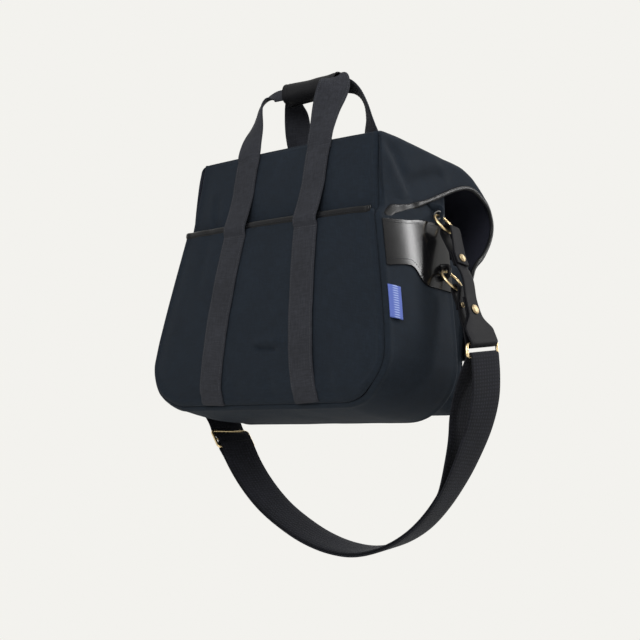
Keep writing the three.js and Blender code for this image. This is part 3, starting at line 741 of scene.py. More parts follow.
def outline(top, count=260):
    """The body's outline seen from behind, from the top of one side round the base to the other."""
    low = CORNER_Z * (1 - np.sin(np.linspace(0, math.pi / 2, 60))[1:])
    z = np.concatenate([np.linspace(top, CORNER_Z, 60), low])
    right = np.stack([half_width(z), z], 1)
    left = right[::-1] * [-1, 1]
    path = np.vstack([right, left])
    return even_points(path, count)


def edge_distance(x, z):
    """How far a point of a panel lies inside the body's outline."""
    path = outline(OPEN_TOP)
    a, b = path[:-1], path[1:]
    p = np.stack([x.ravel(), z.ravel()], 1)
    best = np.full(len(p), 1e9)
    for k in range(len(a)):
        ab = b[k] - a[k]
        t = np.clip(((p - a[k]) @ ab) / (ab @ ab), 0, 1)
        best = np.minimum(best, np.linalg.norm(p - (a[k] + t[:, None] * ab), axis=1))
    return best.reshape(x.shape)


def rounded(distance, radius):
    """How far a sheet turns in at a distance from its seam, as a quarter round."""
    near = np.clip(1 - distance / radius, 0, 1)
    return radius * (1 - np.sqrt(np.maximum(1 - near ** 2, 0)))


def soft_noise(points, scale, amount, seed=0.0):
    """Slow waves in cloth, as millimetres of rise for each point given in millimetres."""
    shape = points.shape[:-1]
    flat = points.reshape(-1, 3)
    out = [noise.noise(Vector((p[0] / scale + seed, p[1] / scale - seed, p[2] / scale))) for p in flat]
    return amount * np.array(out).reshape(shape)


def inset_steps():
    """Shares of a half width, close together near the edge."""
    edge = [1, 0.998, 0.994, 0.989, 0.982, 0.974, 0.965, 0.953, 0.938, 0.918]
    inner = list(np.linspace(0.89, 0, 36))
    half = np.array(edge + inner)
    return np.concatenate([-half, half[::-1][1:]])


def height_steps(low, high, count):
    base = [0, 0.4, 1.2, 2.2, 3.5, 5.2, 7.5, 10.5]
    return np.array([low + b for b in base] + list(np.linspace(low + 14.5, high, count)))


def bell(value, middle, width):
    return np.exp(-((value - middle) / width) ** 2)


def fold_line(y, z, stops, width, depth):
    """A soft valley along a bent line, or a ridge where the depth is negative."""
    far = np.full(np.shape(y), 1e9)
    for a, b in zip(np.array(stops[:-1], dtype=float), np.array(stops[1:], dtype=float)):
        ab = b - a
        t = np.clip(((y - a[0]) * ab[0] + (z - a[1]) * ab[1]) / (ab @ ab), 0, 1)
        far = np.minimum(far, np.hypot(y - (a[0] + t * ab[0]), z - (a[1] + t * ab[1])))
    return -depth * np.exp(-(far / width) ** 2)


# Each crease: where it starts and ends across and up the panel, its width and depth (a ridge if negative).
POCKET_CREASES = [
    ((-3, 68), (-32, 67), 2.8, 5.0), ((-4, 76), (-34, 75), 7.0, -2.4), ((-80, 4), (-86, 34), 7, 2.4),
    ((-122, 6), (-116, 34), 8, 2.2), ((-30, 2), (-24, 26), 8, 1.6), ((40, 2), (36, 24), 9, 1.4),
    ((-148, 222), (-156, 150), 8, 1.0), ((112, 222), (118, 160), 9, 0.9),
]
BACK_CREASES = [
    ((-149, 268), (-152, 232), 7, 1.4), ((-138, 275), (-142, 230), 7, -1.0),
    ((112, 268), (106, 228), 7, 1.3), ((122, 268), (118, 230), 7, -0.9),
]


def panel_rise(x, z, heights, full, creases):
    """How far a panel's cloth stands out from its flat place, in millimetres."""
    across = np.clip(1 - (x / half_width(z)) ** 2, 0, 1)
    rise = np.interp(z, heights, full) * across ** 0.6
    for start, end, width, depth in creases:
        rise += fold_line(x, z, [start, end], width, depth)
    return rise


def pocket_rise(x, z):
    heights = [0, 8, 20, 36, 60, 110, 160, 216, 225]
    return panel_rise(x, z, heights, [-3, 0, 3, 5.5, 8, 10.5, 9.5, 6.5, 6], POCKET_CREASES)


def back_rise(x, z):
    return panel_rise(x, z, [0, 190, 225, 251, 280, 304, 322], [0, 5, 7, 8, 6.5, 4, 1], BACK_CREASES)


def tuck(z):
    """How far the lower rear edge turns in under the bag."""
    return 6.5 * smooth_step(22, 2, z)


def panel(name, zs, base_y, rise, facing, body, slot, nodes, thickness=2.2, materials=None,
          width=None, waves=0.8, seed=0.0):
    """A cloth panel across the bag, turned in along its sides and base; facing is +1 at the rear."""
    us = inset_steps()
    u, z = np.meshgrid(us, zs)
    w = (width or inset_width)(z)
    x = u * w
    distance = np.maximum(edge_distance(x, z) - SEAM, 0)
    curl = rounded(distance, SEAM) - 1.5 * bell(distance, 5.0, 2.8)
    if facing > 0:
        curl = curl + tuck(z)
    lift = rise(x, z) * np.clip(distance / 26, 0, 1) ** 0.6
    flat_points = np.stack([x, np.full_like(x, base_y), z], 2)
    lift = lift + soft_noise(flat_points, 62, waves, seed) * np.clip(distance / 20, 0, 1)
    lift = lift + soft_noise(flat_points, 21, waves * 0.22, seed + 9)
    y = base_y + facing * (lift - curl)
    grid = in_frame(np.stack([x, y, z], 2))
    obj = sheet_object(name, grid, thickness, materials or [CANVAS, LINING, CANVAS], flip=facing > 0)
    piece(obj, body, slot, *nodes)
    return grid


def side_swell(z):
    """How far the middle of the side stands out from its edges at a height."""
    return 2.0 + 4.6 * smooth_step(0, 110, z) * smooth_step(282, 238, z)


def add_gusset():
    """The strip that runs down one side, under the base and up the other."""
    path = outline(GUSSET_TOP)[::-1]
    ahead = tangents(np.column_stack([path, np.zeros(len(path))]))[:, :2]
    out = np.stack([ahead[:, 1], -ahead[:, 0]], 1)
    if (out[0] * [path[0][0], 0]).sum() < 0:
        out = -out
    z = path[:, 1]
    rear = REAR_Y - (REAR_Y - BACK_Y) * smooth_step(218, 232, z) - SEAM - tuck(z)
    front = np.full_like(z, FRONT_Y + SEAM)
    edge = np.array([0, 0.003, 0.01, 0.02, 0.032, 0.048, 0.07, 0.1, 0.14])
    cross = np.concatenate([edge, np.linspace(0.18, 0.82, 30), 1 - edge[::-1]])
    rows = []
    for i in range(len(path)):
        depth = rear[i] - front[i]
        y = front[i] + cross * depth
        distance = np.minimum(y - front[i], rear[i] - y)
        curl = rounded(distance, SEAM) - 1.5 * bell(distance, 5.0, 2.8)
        hump = np.sin(np.clip(cross, 0, 1) * math.pi)
        base = smooth_step(60, 4, z[i])
        side = 1 - base
        bulge = hump ** 0.8 * (base * 5.0 + side * side_swell(z[i]))
        rows.append(np.stack([
            (path[i][0] + out[i][0] * (bulge - curl)), y, (z[i] + out[i][1] * (bulge - curl))], 1))
    flat = np.array(rows)
    amount = soft_noise(flat, 55, 1.1, 3.3) + soft_noise(flat, 19, 0.25, 5.1)
    inner = np.clip(np.minimum(cross, 1 - cross) / 0.12, 0, 1)
    flat[:, :, 0] += out[:, None, 0] * amount * inner
    flat[:, :, 2] += out[:, None, 1] * amount * inner
    grid = in_frame(flat)
    obj = sheet_object("gusset_canvas", grid, 2.2, [CANVAS, LINING, CANVAS], flip=False)
    piece(obj, "root", "canvas", "gusset_strip")


def side_point(out, y, z, off):
    """A point on the side of the bag, off millimetres outside the body's outline."""
    z = np.asarray(z, dtype=float)
    hump = np.sin(np.clip((np.asarray(y, dtype=float) - FRONT_Y) / (REAR_Y - FRONT_Y), 0, 1) * math.pi)
    bulge = hump ** 0.8 * side_swell(z)
    x = out * (half_width(z) + bulge + off)
    return np.stack([x * MM, np.broadcast_to(y, x.shape) * MM + MID_Y, z * MM + BASE_Z], -1)


def add_body():
    zs_pocket = height_steps(SEAM, POCKET_Z, 70)
    pocket = panel("rear_pocket_canvas", zs_pocket, REAR_Y, pocket_rise, 1, "root", "canvas",
                   ["back_pocket"], seed=1.7)
    zs_back = np.linspace(30, TOP_Z, 90)
    back = panel("rear_panel_canvas", zs_back, BACK_Y - 0.6, back_rise, 1, "root", "canvas", ["back_panel"],
                 seed=4.2)
    panel("front_panel_canvas", height_steps(SEAM, 308, 80), FRONT_Y,
          lambda x, z: back_rise(x, z) * 0.6, -1, "root", "canvas", ["front_panel"], seed=7.7)
    add_gusset()
    return pocket, back


def surface_line(grid, x_mm, z_low, z_high, count, lift):
    """A line up a panel at a given distance from the middle, lifted off its surface."""
    rows = []
    zs = (grid[:, 0, 2] - BASE_Z) / MM
    want = np.linspace(z_low, z_high, count)
    xs = x_mm if callable(x_mm) else (lambda z: x_mm)
    for z in want:
        i = int(np.clip(np.searchsorted(zs, z) - 1, 0, len(zs) - 2))
        t = (z - zs[i]) / max(zs[i + 1] - zs[i], 1e-9)
        t = float(np.clip(t, 0, 1))
        row = grid[i] * (1 - t) + grid[i + 1] * t
        x = xs(z) * MM
        y = np.interp(x, row[:, 0], row[:, 1])
        rows.append((x, y + lift * MM, z * MM + BASE_Z))
    return np.array(rows)


def webbing_lean(side):
    """The middle of a webbing column at each height: wider apart at the base, leaning over at the top."""
    def middle(z):
        low = side * (60 + 20 * min(1, (POCKET_Z - min(z, POCKET_Z)) / POCKET_Z))
        return low + (4 if side > 0 else 2) * max(z - POCKET_Z, 0) / 97 - 2

    return middle


def add_pocket_binding(pocket):
    line = pocket[-1] + np.array([0, -1.0, 0.2]) * MM
    dense = resample(line[4:-4], 120)
    tilt = np.tile(np.array([0, 0.06, 1.0]), (len(dense), 1))
    band = ribbon("pocket_binding_leather", dense, tilt, 4.3 * MM, 4.8 * MM, [EDGE_LEATHER])
    seam = dense + np.array([0, 2.35, -1.4]) * MM
    thread = stitches("pocket_binding_stitches", seam, (0, 1, 0), THREAD, 3.4, 2.2, 0.28)
    piece(band, "root", "bridle_leather", "back_pocket_binding")
    piece(thread, "root", "bridle_leather")


def add_rear_webbing(pocket, back):
    for name, side in SIDES:
        lean = webbing_lean(side)
        low = surface_line(pocket, lean, 3.5, POCKET_Z - 12, 60, WEB_THICK / 2 + 0.6)
        high = surface_line(back, lean, POCKET_Z + 46, TOP_Z - 5, 30, WEB_THICK / 2 + 0.8)
        rim = surface_line(pocket, lean, POCKET_Z - 5, POCKET_Z - 4.9, 2, 0)[0]
        wall = high[0]
        over = [rim + np.array(step) * MM for step in ((0, 4.4, -2), (0, 4.9, 4), (0, 3.4, 10))]
        step = np.array(over + [0.5 * (rim + wall) + np.array([0, 1.6, 2]) * MM])
        line = resample(np.vstack([low, step, high]), 150)
        wide = np.tile(np.array([1.0, 0, 0]), (len(line), 1))
        strap = ribbon(f"rear_webbing_{name}_band", line, wide, WEB_HALF * MM, WEB_THICK * MM, [WEBBING])
        piece(strap, "root", "handle_webbing", f"rear_webbing_{name}")
        rows = []
        for edge in (-1, 1):
            seam = line[4:-3] + np.array([edge * WEB_SEAM, WEB_THICK / 2 + 0.02, 0]) * MM
            rows.append(stitches(f"seam_{name}_{edge}", seam, (0, 1, 0), THREAD_PALE, 3.3, 2.0, 0.3))
        cross = []
        z_at = POCKET_Z - 11
        at = surface_line(pocket, lean, z_at, z_at + 0.1, 2, 0)[0]
        for dz in (-2.2, 2.2):
            across = np.linspace(-1, 1, 16)
            span = np.array([at + np.array([s * 16, WEB_THICK + 0.55, dz]) * MM for s in across])
            cross.append(stitches(f"cross_{name}_{dz}", span, (0, 1, 0), THREAD_PALE, 3.0, 2.0, 0.32))
        thread = join(f"rear_webbing_{name}_stitches", rows + cross)
        piece(thread, "root", "handle_webbing")


# The hood's profile from the back edge over the top and down the front, as depth and height.
HOOD_PATH = [
    (60.5, 321.0), (56.0, 324.2), (45, 325.4), (30, 325.2), (10, 324.2), (-10, 323.2), (-40, 321.6),
    (-70, 320.6), (-88, 318.4), (-106, 313), (-128, 301.5), (-147, 288), (-156, 273), (-159, 256),
    (-154, 236), (-141, 214), (-127.5, 199), (-122.6, 178), (-122.0, 150), (-122.0, 120),
    (-122.0, 86),
]


def hood_line(count):
    flat = resample([(0, y, z) for y, z in HOOD_PATH], count)
    return flat[:, 1], flat[:, 2]


EAR_BACK = [-60, -46, -15, 12, 36, 60, 84, 104, 120, 132, 150]  # depths, from the rear to the front
EAR_DROP = [108, 103, 88, 73, 58, 43, 29, 20, 15, 12, 9]  # how far the wing hangs at each of them


def ear_depth(y, z, share):
    """How far the hood's side hangs below its shoulder, along its path."""
    on_top = np.interp(-y, EAR_BACK, EAR_DROP)
    return np.where(share < 0.52, on_top, np.where(z > 262, np.minimum(on_top, 9), 7))


def hood_half(y):
    return np.interp(-y, [-60, -40, -10, 30, 80, 130], [155.5, 156.5, 159, 162.5, 165, 166])


def hood_grid(rows=130):
    y, z = hood_line(rows)
    centre = np.stack([np.zeros(rows), y, z], 1)
    ahead = tangents(centre)
    inner = np.stack([np.zeros(rows), -ahead[:, 2], ahead[:, 1]], 1)
    inner = np.where((inner[:, 2:3] > 0) & (z[:, None] > 300), -inner, inner)
    share = np.linspace(0, 1, rows)
    # On the top the sides hang straight down; round the front they turn in towards the bag.
    blend = smooth_step(-70, -125, y)[:, None]
    straight = np.tile(np.array([0, 0, -1.0]), (rows, 1))
    way = unit(straight * (1 - blend) + unit(inner) * blend)
    depth = ear_depth(y, z, share)
    depth = smoothed(depth, 4)
    half = hood_half(y)
    flare = np.interp(-y, [-60, -20, 40, 100], [0.105, 0.1, 0.06, 0.02])
    ear, arc, top = 26, 8, 44
    rows_out = []
    for i in range(rows):
        radius = min(9.0, depth[i] * 0.8)
        side = []
        for k in range(ear):
            fall = depth[i] - (depth[i] - radius) * (k / (ear - 1)) ** 0.9
            side.append((half[i] + flare[i] * (fall - radius), fall))
        for k in range(1, arc + 1):
            turn = math.pi / 2 * k / arc
            side.append((half[i] - radius + radius * math.cos(turn), radius - radius * math.sin(turn)))
        xs = np.linspace(half[i] - radius, 0, top)[1:]
        for x in xs:
            crown = -1.6 * (1 - (x / half[i]) ** 2)
            side.append((x, crown))
        side = np.array(side)
        full = np.vstack([side, side[::-1][1:] * [-1, 1]])
        pull = -11 * smooth_step(36, 60, y[i]) * (full[:, 1:2] / 108) ** 2
        row = np.array([0, y[i], z[i]]) + pull * np.array([0, 1.0, 0])
        rows_out.append(row + full[:, :1] * np.array([1.0, 0, 0]) + full[:, 1:2] * way[i])
    return np.array(rows_out)


# Each fold: its stops as depth and height, its width and its depth (a ridge if negative).
HOOD_FOLDS = [
    ([(54, 312), (38, 300), (24, 280)], 9, 3.4), ([(58, 300), (42, 284), (26, 258)], 11, -2.8),
    ([(14, 266), (4, 276), (-18, 287), (-40, 296)], 7.5, 3.2),
    ([(12, 284), (-8, 296), (-34, 308)], 10, -2.2), ([(-2, 250), (-52, 290)], 8, -1.6),
]


def hood_folds(grid):
    """Soft folds in the hood's sides, drawn on each side's own depth and height."""
    x, y, z = grid[:, :, 0], grid[:, :, 1], grid[:, :, 2]
    rise = np.zeros_like(x)
    for sign in (-1, 1):
        here = smooth_step(130, 152, x * sign)
        rise += here * smooth_step(321, 306, z) * sum(fold_line(y, z, *fold) for fold in HOOD_FOLDS)
    return rise


def add_hood():
    grid = hood_grid()
    du = np.gradient(grid, axis=0)
    dv = np.gradient(grid, axis=1)
    normals = unit(np.cross(dv, du))
    middle = np.array([0, -40, 250.0])
    flip = (normals * (grid - middle)).sum(2, keepdims=True) < 0
    normals = np.where(flip, -normals, normals)
    rise = hood_folds(grid)
    rise += soft_noise(grid, 48, 1.5, 11.0) + soft_noise(grid, 18, 0.3, 2.0)
    rear = smooth_step(58, 40, grid[:, :, 1])
    rise *= np.clip(rear + 0.15, 0, 1)
    moved = grid + normals * rise[:, :, None]
    world = in_frame(moved)
    obj = sheet_object("hood_canvas", world, 2.3, [CANVAS, LINING, CANVAS], flip=False)
    piece(obj, "flap", "canvas", "flap_panel", "flap_ear_left", "flap_ear_right")
    for name, side in SIDES:
        edge, inner = (0, 1) if side > 0 else (-1, -2)
        line = resample(world[:, edge], 260)
        up = unit(resample(world[:, inner], 260) - line)
        share = np.linspace(0, 1, 260)
        half_band = np.interp(share, [0, 0.03, 0.1, 0.2, 1], [6.5, 6.5, 4.2, 2.9, 2.7])
        shift = up * ((half_band - 1.2) * MM)[:, None]
        band = ribbon(f"hood_binding_{name}", line + shift, up, half_band * MM, 4.0 * MM, [EDGE_LEATHER])
        piece(band, "flap", "bridle_leather", f"flap_binding_{name}")
        out = np.array([side, 0, 0])
        seam = line + up * (half_band * 2 - 2.4)[:, None] * MM + out * 2.05 * MM
        rows = [stitches(f"b_{name}", seam[4:130], out, THREAD, 3.0, 2.0, 0.26)]
        thread = join(f"hood_binding_{name}_stitches", rows)
        piece(thread, "flap", "bridle_leather")
    bottom = world[-1][6:-6]
    way_up = unit(world[-2][6:-6] - bottom)
    hem = ribbon("hood_hem_leather", resample(bottom, 120), resample_like(way_up, 120),
                 3.2 * MM, 4.2 * MM, [EDGE_LEATHER])
    piece(hem, "flap", "bridle_leather")


def resample_like(rows, count):
    old = np.linspace(0, 1, len(rows))
    new = np.linspace(0, 1, count)
    return unit(np.stack([np.interp(new, old, rows[:, k]) for k in range(3)], 1))


# ---------------------------------------------------------------- handles and grip
# Each handle, from its left foot through the grip to its right foot. The rear one's rows are x, y, height,
# half width and twist in degrees; the front one's last two are in FRONT_SHAPE.
REAR_HANDLE = [
    (62, 63.2, 312, 19, 0), (62.5, 63.6, 322, 19, 0), (64.5, 61.5, 333, 19, -2),
    (68.5, 55, 354, 19, -10), (74.5, 46, 377, 19, -32), (79, 38.5, 394, 18.5, -40),
    (80, 30, 408, 17, -26), (73, 22, 417, 14, -10), (61, 18.5, 418.5, 10, -4),
    (48, 17.2, 418, 9.5, 0), (30, 17, 418, 9.3, 0), (0, 17, 418, 9.3, 0), (-22, 17.6, 419, 10, 0),
    (-31, 20, 421.5, 13, -10), (-39, 26, 421, 17, -28), (-45, 32.5, 413, 19.5, -38),
    (-49, 38, 402, 20, -40), (-51, 44, 387, 20, -32), (-53, 50, 370, 19.5, -18),
    (-56, 56, 352, 19, -8), (-58.5, 61.5, 333, 19, -2), (-60, 63.6, 322, 19, 0),
    (-60.5, 63.2, 312, 19, 0),
]
FRONT_HANDLE = [
    (60, -47, 326.2), (61, -42.5, 328.5), (64, -38, 338), (68, -33, 354), (69, -25.5, 378),
    (66, -16, 400), (61, -6, 411), (52, 4, 417), (42, 10, 418.5), (28, 12.8, 418), (0, 13, 418),
    (-24, 12.8, 418), (-36, 9, 418), (-46, 2, 415.5), (-53, -6, 409), (-57, -15, 397),
    (-57, -25, 379), (-56, -32, 362), (-58, -38, 342), (-60, -42.5, 328.5), (-60, -47, 326.2),
]
FRONT_SHAPE = [
    (19, 0), (19, 0), (19, 0), (19, 6), (18.5, 20), (17, 26), (14, 20), (11.5, 8), (10, 0), (9.3, 0),
    (9.3, 0), (9.5, 0), (11, 10), (13.5, 28), (16, 42), (18, 46), (18.5, 40), (19, 22), (19, 6),
    (19, 0), (19, 0),
]


def handle_band(points):
    """A handle's line with its half width and twist at each of its points."""
    table = np.array(points, dtype=float)
    line = resample(table[:, :3], 260)
    own = run_of(table[:, :3])
    run = run_of(line)
    run *= own[-1] / run[-1]
    half, twist = (smoothed(np.interp(run, own, table[:, k]), 7) for k in (3, 4))
    return np.array([spot(*p) for p in line]), half * MM, np.radians(twist)


def add_handles():
    front = [p + q for p, q in zip(FRONT_HANDLE, FRONT_SHAPE)]
    for name, points in (("rear_handle", REAR_HANDLE), ("front_handle", front)):
        line, half, twist = handle_band(points)
        ahead = tangents(line)
        foot, top = line[0], line[len(line) // 2]
        lean = unit(np.array([0, top[1] - foot[1], top[2] - foot[2]]))
        flat = unit(np.cross(np.array([0, lean[2], -lean[1]]), ahead))
        face = unit(np.cross(ahead, flat))
        wide = unit(np.cos(twist)[:, None] * flat + np.sin(twist)[:, None] * face)
        normal = unit(np.cross(ahead, wide))
        band = ribbon(f"{name}_webbing", line, wide, half, WEB_THICK * MM, [WEBBING])
        rear = name == "rear_handle"
        piece(band, None if rear else "flap", "handle_webbing", name)
        rows = []
        for edge in (-1, 1):
            for side in (-1, 1):
                face = normal * side
                seam = line + wide * (half * 0.86 * edge)[:, None] + face * (WEB_THICK / 2 + 0.02) * MM
                for part in (slice(6, 90), slice(-90, -6)):
                    label = f"{name}_{edge}_{side}_{part.start}"
                    rows.append(stitches(label, seam[part], face[part], THREAD_PALE, 3.3, 2.0, 0.28))
        thread = join(f"{name}_stitches", rows)
        piece(thread, None if rear else "flap", "handle_webbing")
        if rear:
            for obj in (band, thread):
                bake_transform(obj)


GRIP_ENDS = (-38.0, 52.0)


def add_grip():
    """A leather sheet wrapped round both webbings, its two edges lapped and pressed shut underneath."""
    low, high = GRIP_ENDS
    middle, long = (low + high) / 2, (high - low) / 2
    near = [0, 0.8, 2.2]
    inside = np.linspace(low + 5, high - 5, 40)
    xs = np.concatenate([[low + n for n in near], inside, [high - n for n in near[::-1]]])
    rows = []
    for x in xs:
        end = abs(x - middle) / long
        tight = 1 - 0.05 * (1 - end ** 2)
        lip = 0.5 * smooth_step(0.93, 1.0, end)
        turn = 2 * math.pi * np.arange(72) / 71 - math.pi * 0.62
        c, s = np.cos(turn), np.sin(turn)
        lap = 1.5 * smooth_step(60, 71, np.arange(72))
        dent = 0.8 * np.cos(2 * turn + 0.6) * (1 - end ** 2)
        y = 15 + np.sign(c) * abs(c) ** 0.8 * (13.6 * tight + lip + lap + dent)
        z = 418 + np.sign(s) * abs(s) ** 0.8 * (13.4 * tight + lip + lap)
        rows.append(np.stack([np.full(72, x), y, z], 1))
    grid = np.array(rows)
    grid[:, :, 1] += soft_noise(grid, 26, 0.8, 6.0)
    grid[:, :, 2] += soft_noise(grid, 24, 0.8, 16.0)
    world = in_frame(grid)
    wrap = sheet_object("grip_leather_wrap", world, 1.9, [GRIP_LEATHER, GRIP_LEATHER], flip=False)
    piece(wrap, "flap", "bridle_leather", "grip_wrap")
    rows = []
    for at in (4, -5):
        ring = world[at]
        up = unit(ring - ring.mean(0))
        seam = ring[2:60] + up[2:60] * 0.1 * MM
        rows.append(stitches(f"grip_{at}", seam, up[2:60], THREAD, 3.4, 2.2, 0.3))
    piece(join("grip_stitches", rows), "flap", "bridle_leather")


# ---------------------------------------------------------------- side leather and hardware
UPPER_RING = (178.8, 232.6)
LOWER_RING = (196.8, 162.1)
RING_RADIUS = 15.0
RING_WIRE = 1.65
RING_SLOPE = np.array([0.65, 0.76]) / math.hypot(0.65, 0.76)
LOOP_TOP = np.array([247.0, 85.0])
LOOP_BASE = np.array([249.4, 71.0])


def hang(points):
    """Tilts a hanging piece below the ring tabs, in the frame: its front edge rides higher."""
    points = np.asarray(points, dtype=float)
    z = (points[..., 2] - BASE_Z) / MM
    share = smooth_step(135, 92, z) * smooth_step(-60, 40, z)
    lifted = points.copy()
    lifted[..., 2] -= (points[..., 1] - (STRAP_Y * MM + MID_Y)) * STRAP_TILT * share
    return lifted


def hang_object(obj):
    count = len(obj.data.vertices)
    flat = np.zeros(count * 3)
    obj.data.vertices.foreach_get("co", flat)
    obj.data.vertices.foreach_set("co", hang(flat.reshape(-1, 3)).ravel())
    obj.data.update()
    return obj


def flat_line(points, out):
    """Points given as distance from the middle and height, in the plane of the strap."""
    return np.array([spot(out * x, STRAP_Y, z) for x, z in points])


def yoke_low(y):
    return np.interp(-np.asarray(y, dtype=float),
                     [-68, -56, -46, -30, -20, -15, -11, -6, -1, 4, 10, 62],
                     [158.5, 159.5, 162.5, 166, 167, 165.8, 163, 157.5, 152.5, 150, 149, 153])


def yoke_high(y):
    return np.interp(-np.asarray(y, dtype=float), [-60, -20, 2, 30, 58], [215, 222.5, 228.5, 233, 235])


def side_flare(y, z):
    """The side's own leather stands out a little where the rings pull on it."""
    return 0.9 * bell(y, -50, 26) * smooth_step(160, 232, z)


def add_yoke(name, out):
    cols = np.concatenate([[-61.5, -61.0, -60.2], np.linspace(-59, 57, 64), [58.4, 59.4, 60.2]])
    rows = np.concatenate([[0, 0.006, 0.02], np.linspace(0.05, 0.95, 34), [0.98, 0.994, 1.0]])
    grid = []
    for t in rows:
        z = yoke_low(cols) * (1 - t) + yoke_high(cols) * t
        grid.append(side_point(out, cols, z, 1.9 + side_flare(cols, z)))
    grid = np.array(grid)
    obj = sheet_object(f"yoke_leather_{name}", grid, 2.0, [LEATHER], flip=out < 0)
    bevel = obj.modifiers.new("edge", "BEVEL")
    bevel.width = 0.0006
    bevel.segments = 2
    bevel.limit_method = "ANGLE"
    piece(obj, "root", "bridle_leather", f"side_yoke_{name}")
    rows = []
    normal = np.array([out, 0, 0.1])
    for share, drop in ((1, -4.0), (0, 4.2)):
        ys = np.linspace(57, -58, 90)
        z = (yoke_high(ys) if share else yoke_low(ys)) + drop
        if not share:
            ys = np.linspace(57, 8, 40)
            z = yoke_low(ys) + 7.0
        seam = side_point(out, ys, z, 2.0 + side_flare(ys, z))
        rows.append(stitches(f"yoke_{name}_{share}", seam, normal, THREAD, 3.2, 2.1, 0.3))
    piece(join(f"yoke_stitches_{name}", rows), "root", "bridle_leather")


def add_ring_tab(name, out, level, centre):
    """The tab that a ring hangs from, two layers thick: of canvas at the top, of leather lower down."""
    up = np.array([-out * RING_SLOPE[0], 0, RING_SLOPE[1]])
    hole = spot(out * centre[0], STRAP_Y, centre[1]) + up * RING_RADIUS * MM
    z_mm = (hole[2] - BASE_Z) / MM
    x_mm = abs(hole[0]) / MM
    root = float(half_width(z_mm)) - 1.0
    tip = x_mm + 7.0
    outline_points = []
    upper = level == "upper"
    high, low = (z_mm + 13.5, z_mm - 12) if upper else (z_mm + 9.5, z_mm - 10.5)
    outline_points += [(root, low)] + [(tip - 7 + 7 * math.sin(t), low + 7 - 7 * math.cos(t)) for t in
                                       np.linspace(0, math.pi / 2, 7)]
    outline_points += [(tip - 7 + 7 * math.cos(t), high - 7 + 7 * math.sin(t)) for t in
                       np.linspace(0, math.pi / 2, 7)] + [(root, high)]
    ring_count = 48
    outer = even_points(np.array(outline_points), ring_count, closed=True)
    angle = np.arctan2(outer[:, 1] - z_mm, outer[:, 0] - x_mm)
    hole_ring = np.stack([x_mm + 3.1 * np.cos(angle), z_mm + 3.1 * np.sin(angle)], 1)
    layers = []
    for y, shrink in ((-1.5, 0.8), (-1.2, 0.25), (-0.2, 0), (0, 0.5), (0.2, 0), (1.2, 0.25), (1.5, 0.8)):
        spread = np.clip((x_mm + 4 - outer[:, 0]) / max(x_mm - root, 1), 0, 1)
        move = (outer - [x_mm, z_mm])
        size = np.linalg.norm(move, axis=1, keepdims=True)
        ring = outer - move / size * shrink
        splay = (24 if y > 0 else 7) * spread ** 1.4 if upper else 2.2 * spread ** 2
        layers.append(np.stack([out * ring[:, 0], STRAP_Y + y + np.sign(y) * splay, ring[:, 1]], 1))
    for y in (1.5, 0, -1.5):
        depth = np.full(ring_count, STRAP_Y + y)
        layers.append(np.stack([out * hole_ring[:, 0], depth, hole_ring[:, 1]], 1))
    grid = np.array([[spot(*p) for p in layer] for layer in layers])
    count = len(grid)
    faces = grid_faces(count, ring_count, wrap_rows=True, wrap_cols=True, flip=out > 0)
    obj = make_object(f"ring_tab_{level}_{name}_leather", grid.reshape(-1, 3), faces, arc_uv(grid),
                      [CANVAS if upper else LEATHER])
    piece(obj, "root", "canvas" if upper else "bridle_leather", f"ring_tab_{level}_{name}")
    return hole


def add_ring(name, out, level, centre):
    up = np.array([-out * RING_SLOPE[0], 0, RING_SLOPE[1]])
    middle = spot(out * centre[0], STRAP_Y, centre[1])
    turn = np.linspace(0, 2 * math.pi, 72, endpoint=False)
    spokes = np.cos(turn)[:, None] * up + np.sin(turn)[:, None] * np.array([0, 1, 0])
    line = middle + RING_RADIUS * MM * spokes
    ring = tube(f"ring_{level}_{name}_wire", line, RING_WIRE * MM, [BRASS], sides=18, closed=True)
    piece(ring, f"ring_{level}_{name}", "brass_hardware", f"ring_{level}_{name}")


def add_eyelet(name, out, hole):
    turn = np.linspace(0, 2 * math.pi, 40, endpoint=False)
    parts = []
    for sign in (-1, 1):
        lean = math.radians(24)
        flat = np.array([out * math.cos(lean), -math.sin(lean), 0])
        axis = np.array([out * math.sin(lean), math.cos(lean), 0])
        line = hole + axis * sign * 1.9 * MM + 5.0 * MM * (
            np.cos(turn)[:, None] * flat + np.sin(turn)[:, None] * np.array([0, 0, 1]))
        parts.append(tube(f"eyelet_{sign}", line, 1.2 * MM, [EYELET], sides=10, closed=True))
    piece(join(f"eyelet_{name}_rim", parts), "root", "brass_hardware", f"eyelet_{name}")


def fold(centre, down, radius, stops, half, steps=14):
    """The middle line of a strip folded round a wire; stops are distances from it, farthest first."""
    across = np.array([-down[1], down[0]])
    at = lambda s, t: np.asarray(centre) + np.asarray(down) * s + across * t
    line = [at(stop, half) for stop in stops] + [at(radius * 2.8, half + (radius - half) * 0.35)]
    for i in range(steps + 1):
        turn = math.pi * i / steps
        line.append(at(-radius * math.sin(turn), radius * math.cos(turn)))
    line += [at(radius * 2.8, -half - (radius - half) * 0.35)] + [at(stop, -half) for stop in stops[::-1]]
    return np.array(line)


def dome(radius, height, back, washer):
    """A rivet's profile along its axis: washer behind, post, and a low dome in front."""
    profile = [
        (0, -back - 1.3), (washer * 0.8, -back - 1.2), (washer, -back - 0.7), (washer * 0.98, -back),
        (1.9, -back), (1.9, back), (radius * 0.96, back), (radius, back + 0.45),
    ]
    for k in range(1, 9):
        turn = math.pi / 2 * k / 8
        profile.append((radius * math.cos(turn) * 0.985, back + 0.6 + height * math.sin(turn)))
    profile[-1] = (0, back + 0.6 + height)
    return [(r * MM, h * MM) for r, h in profile]


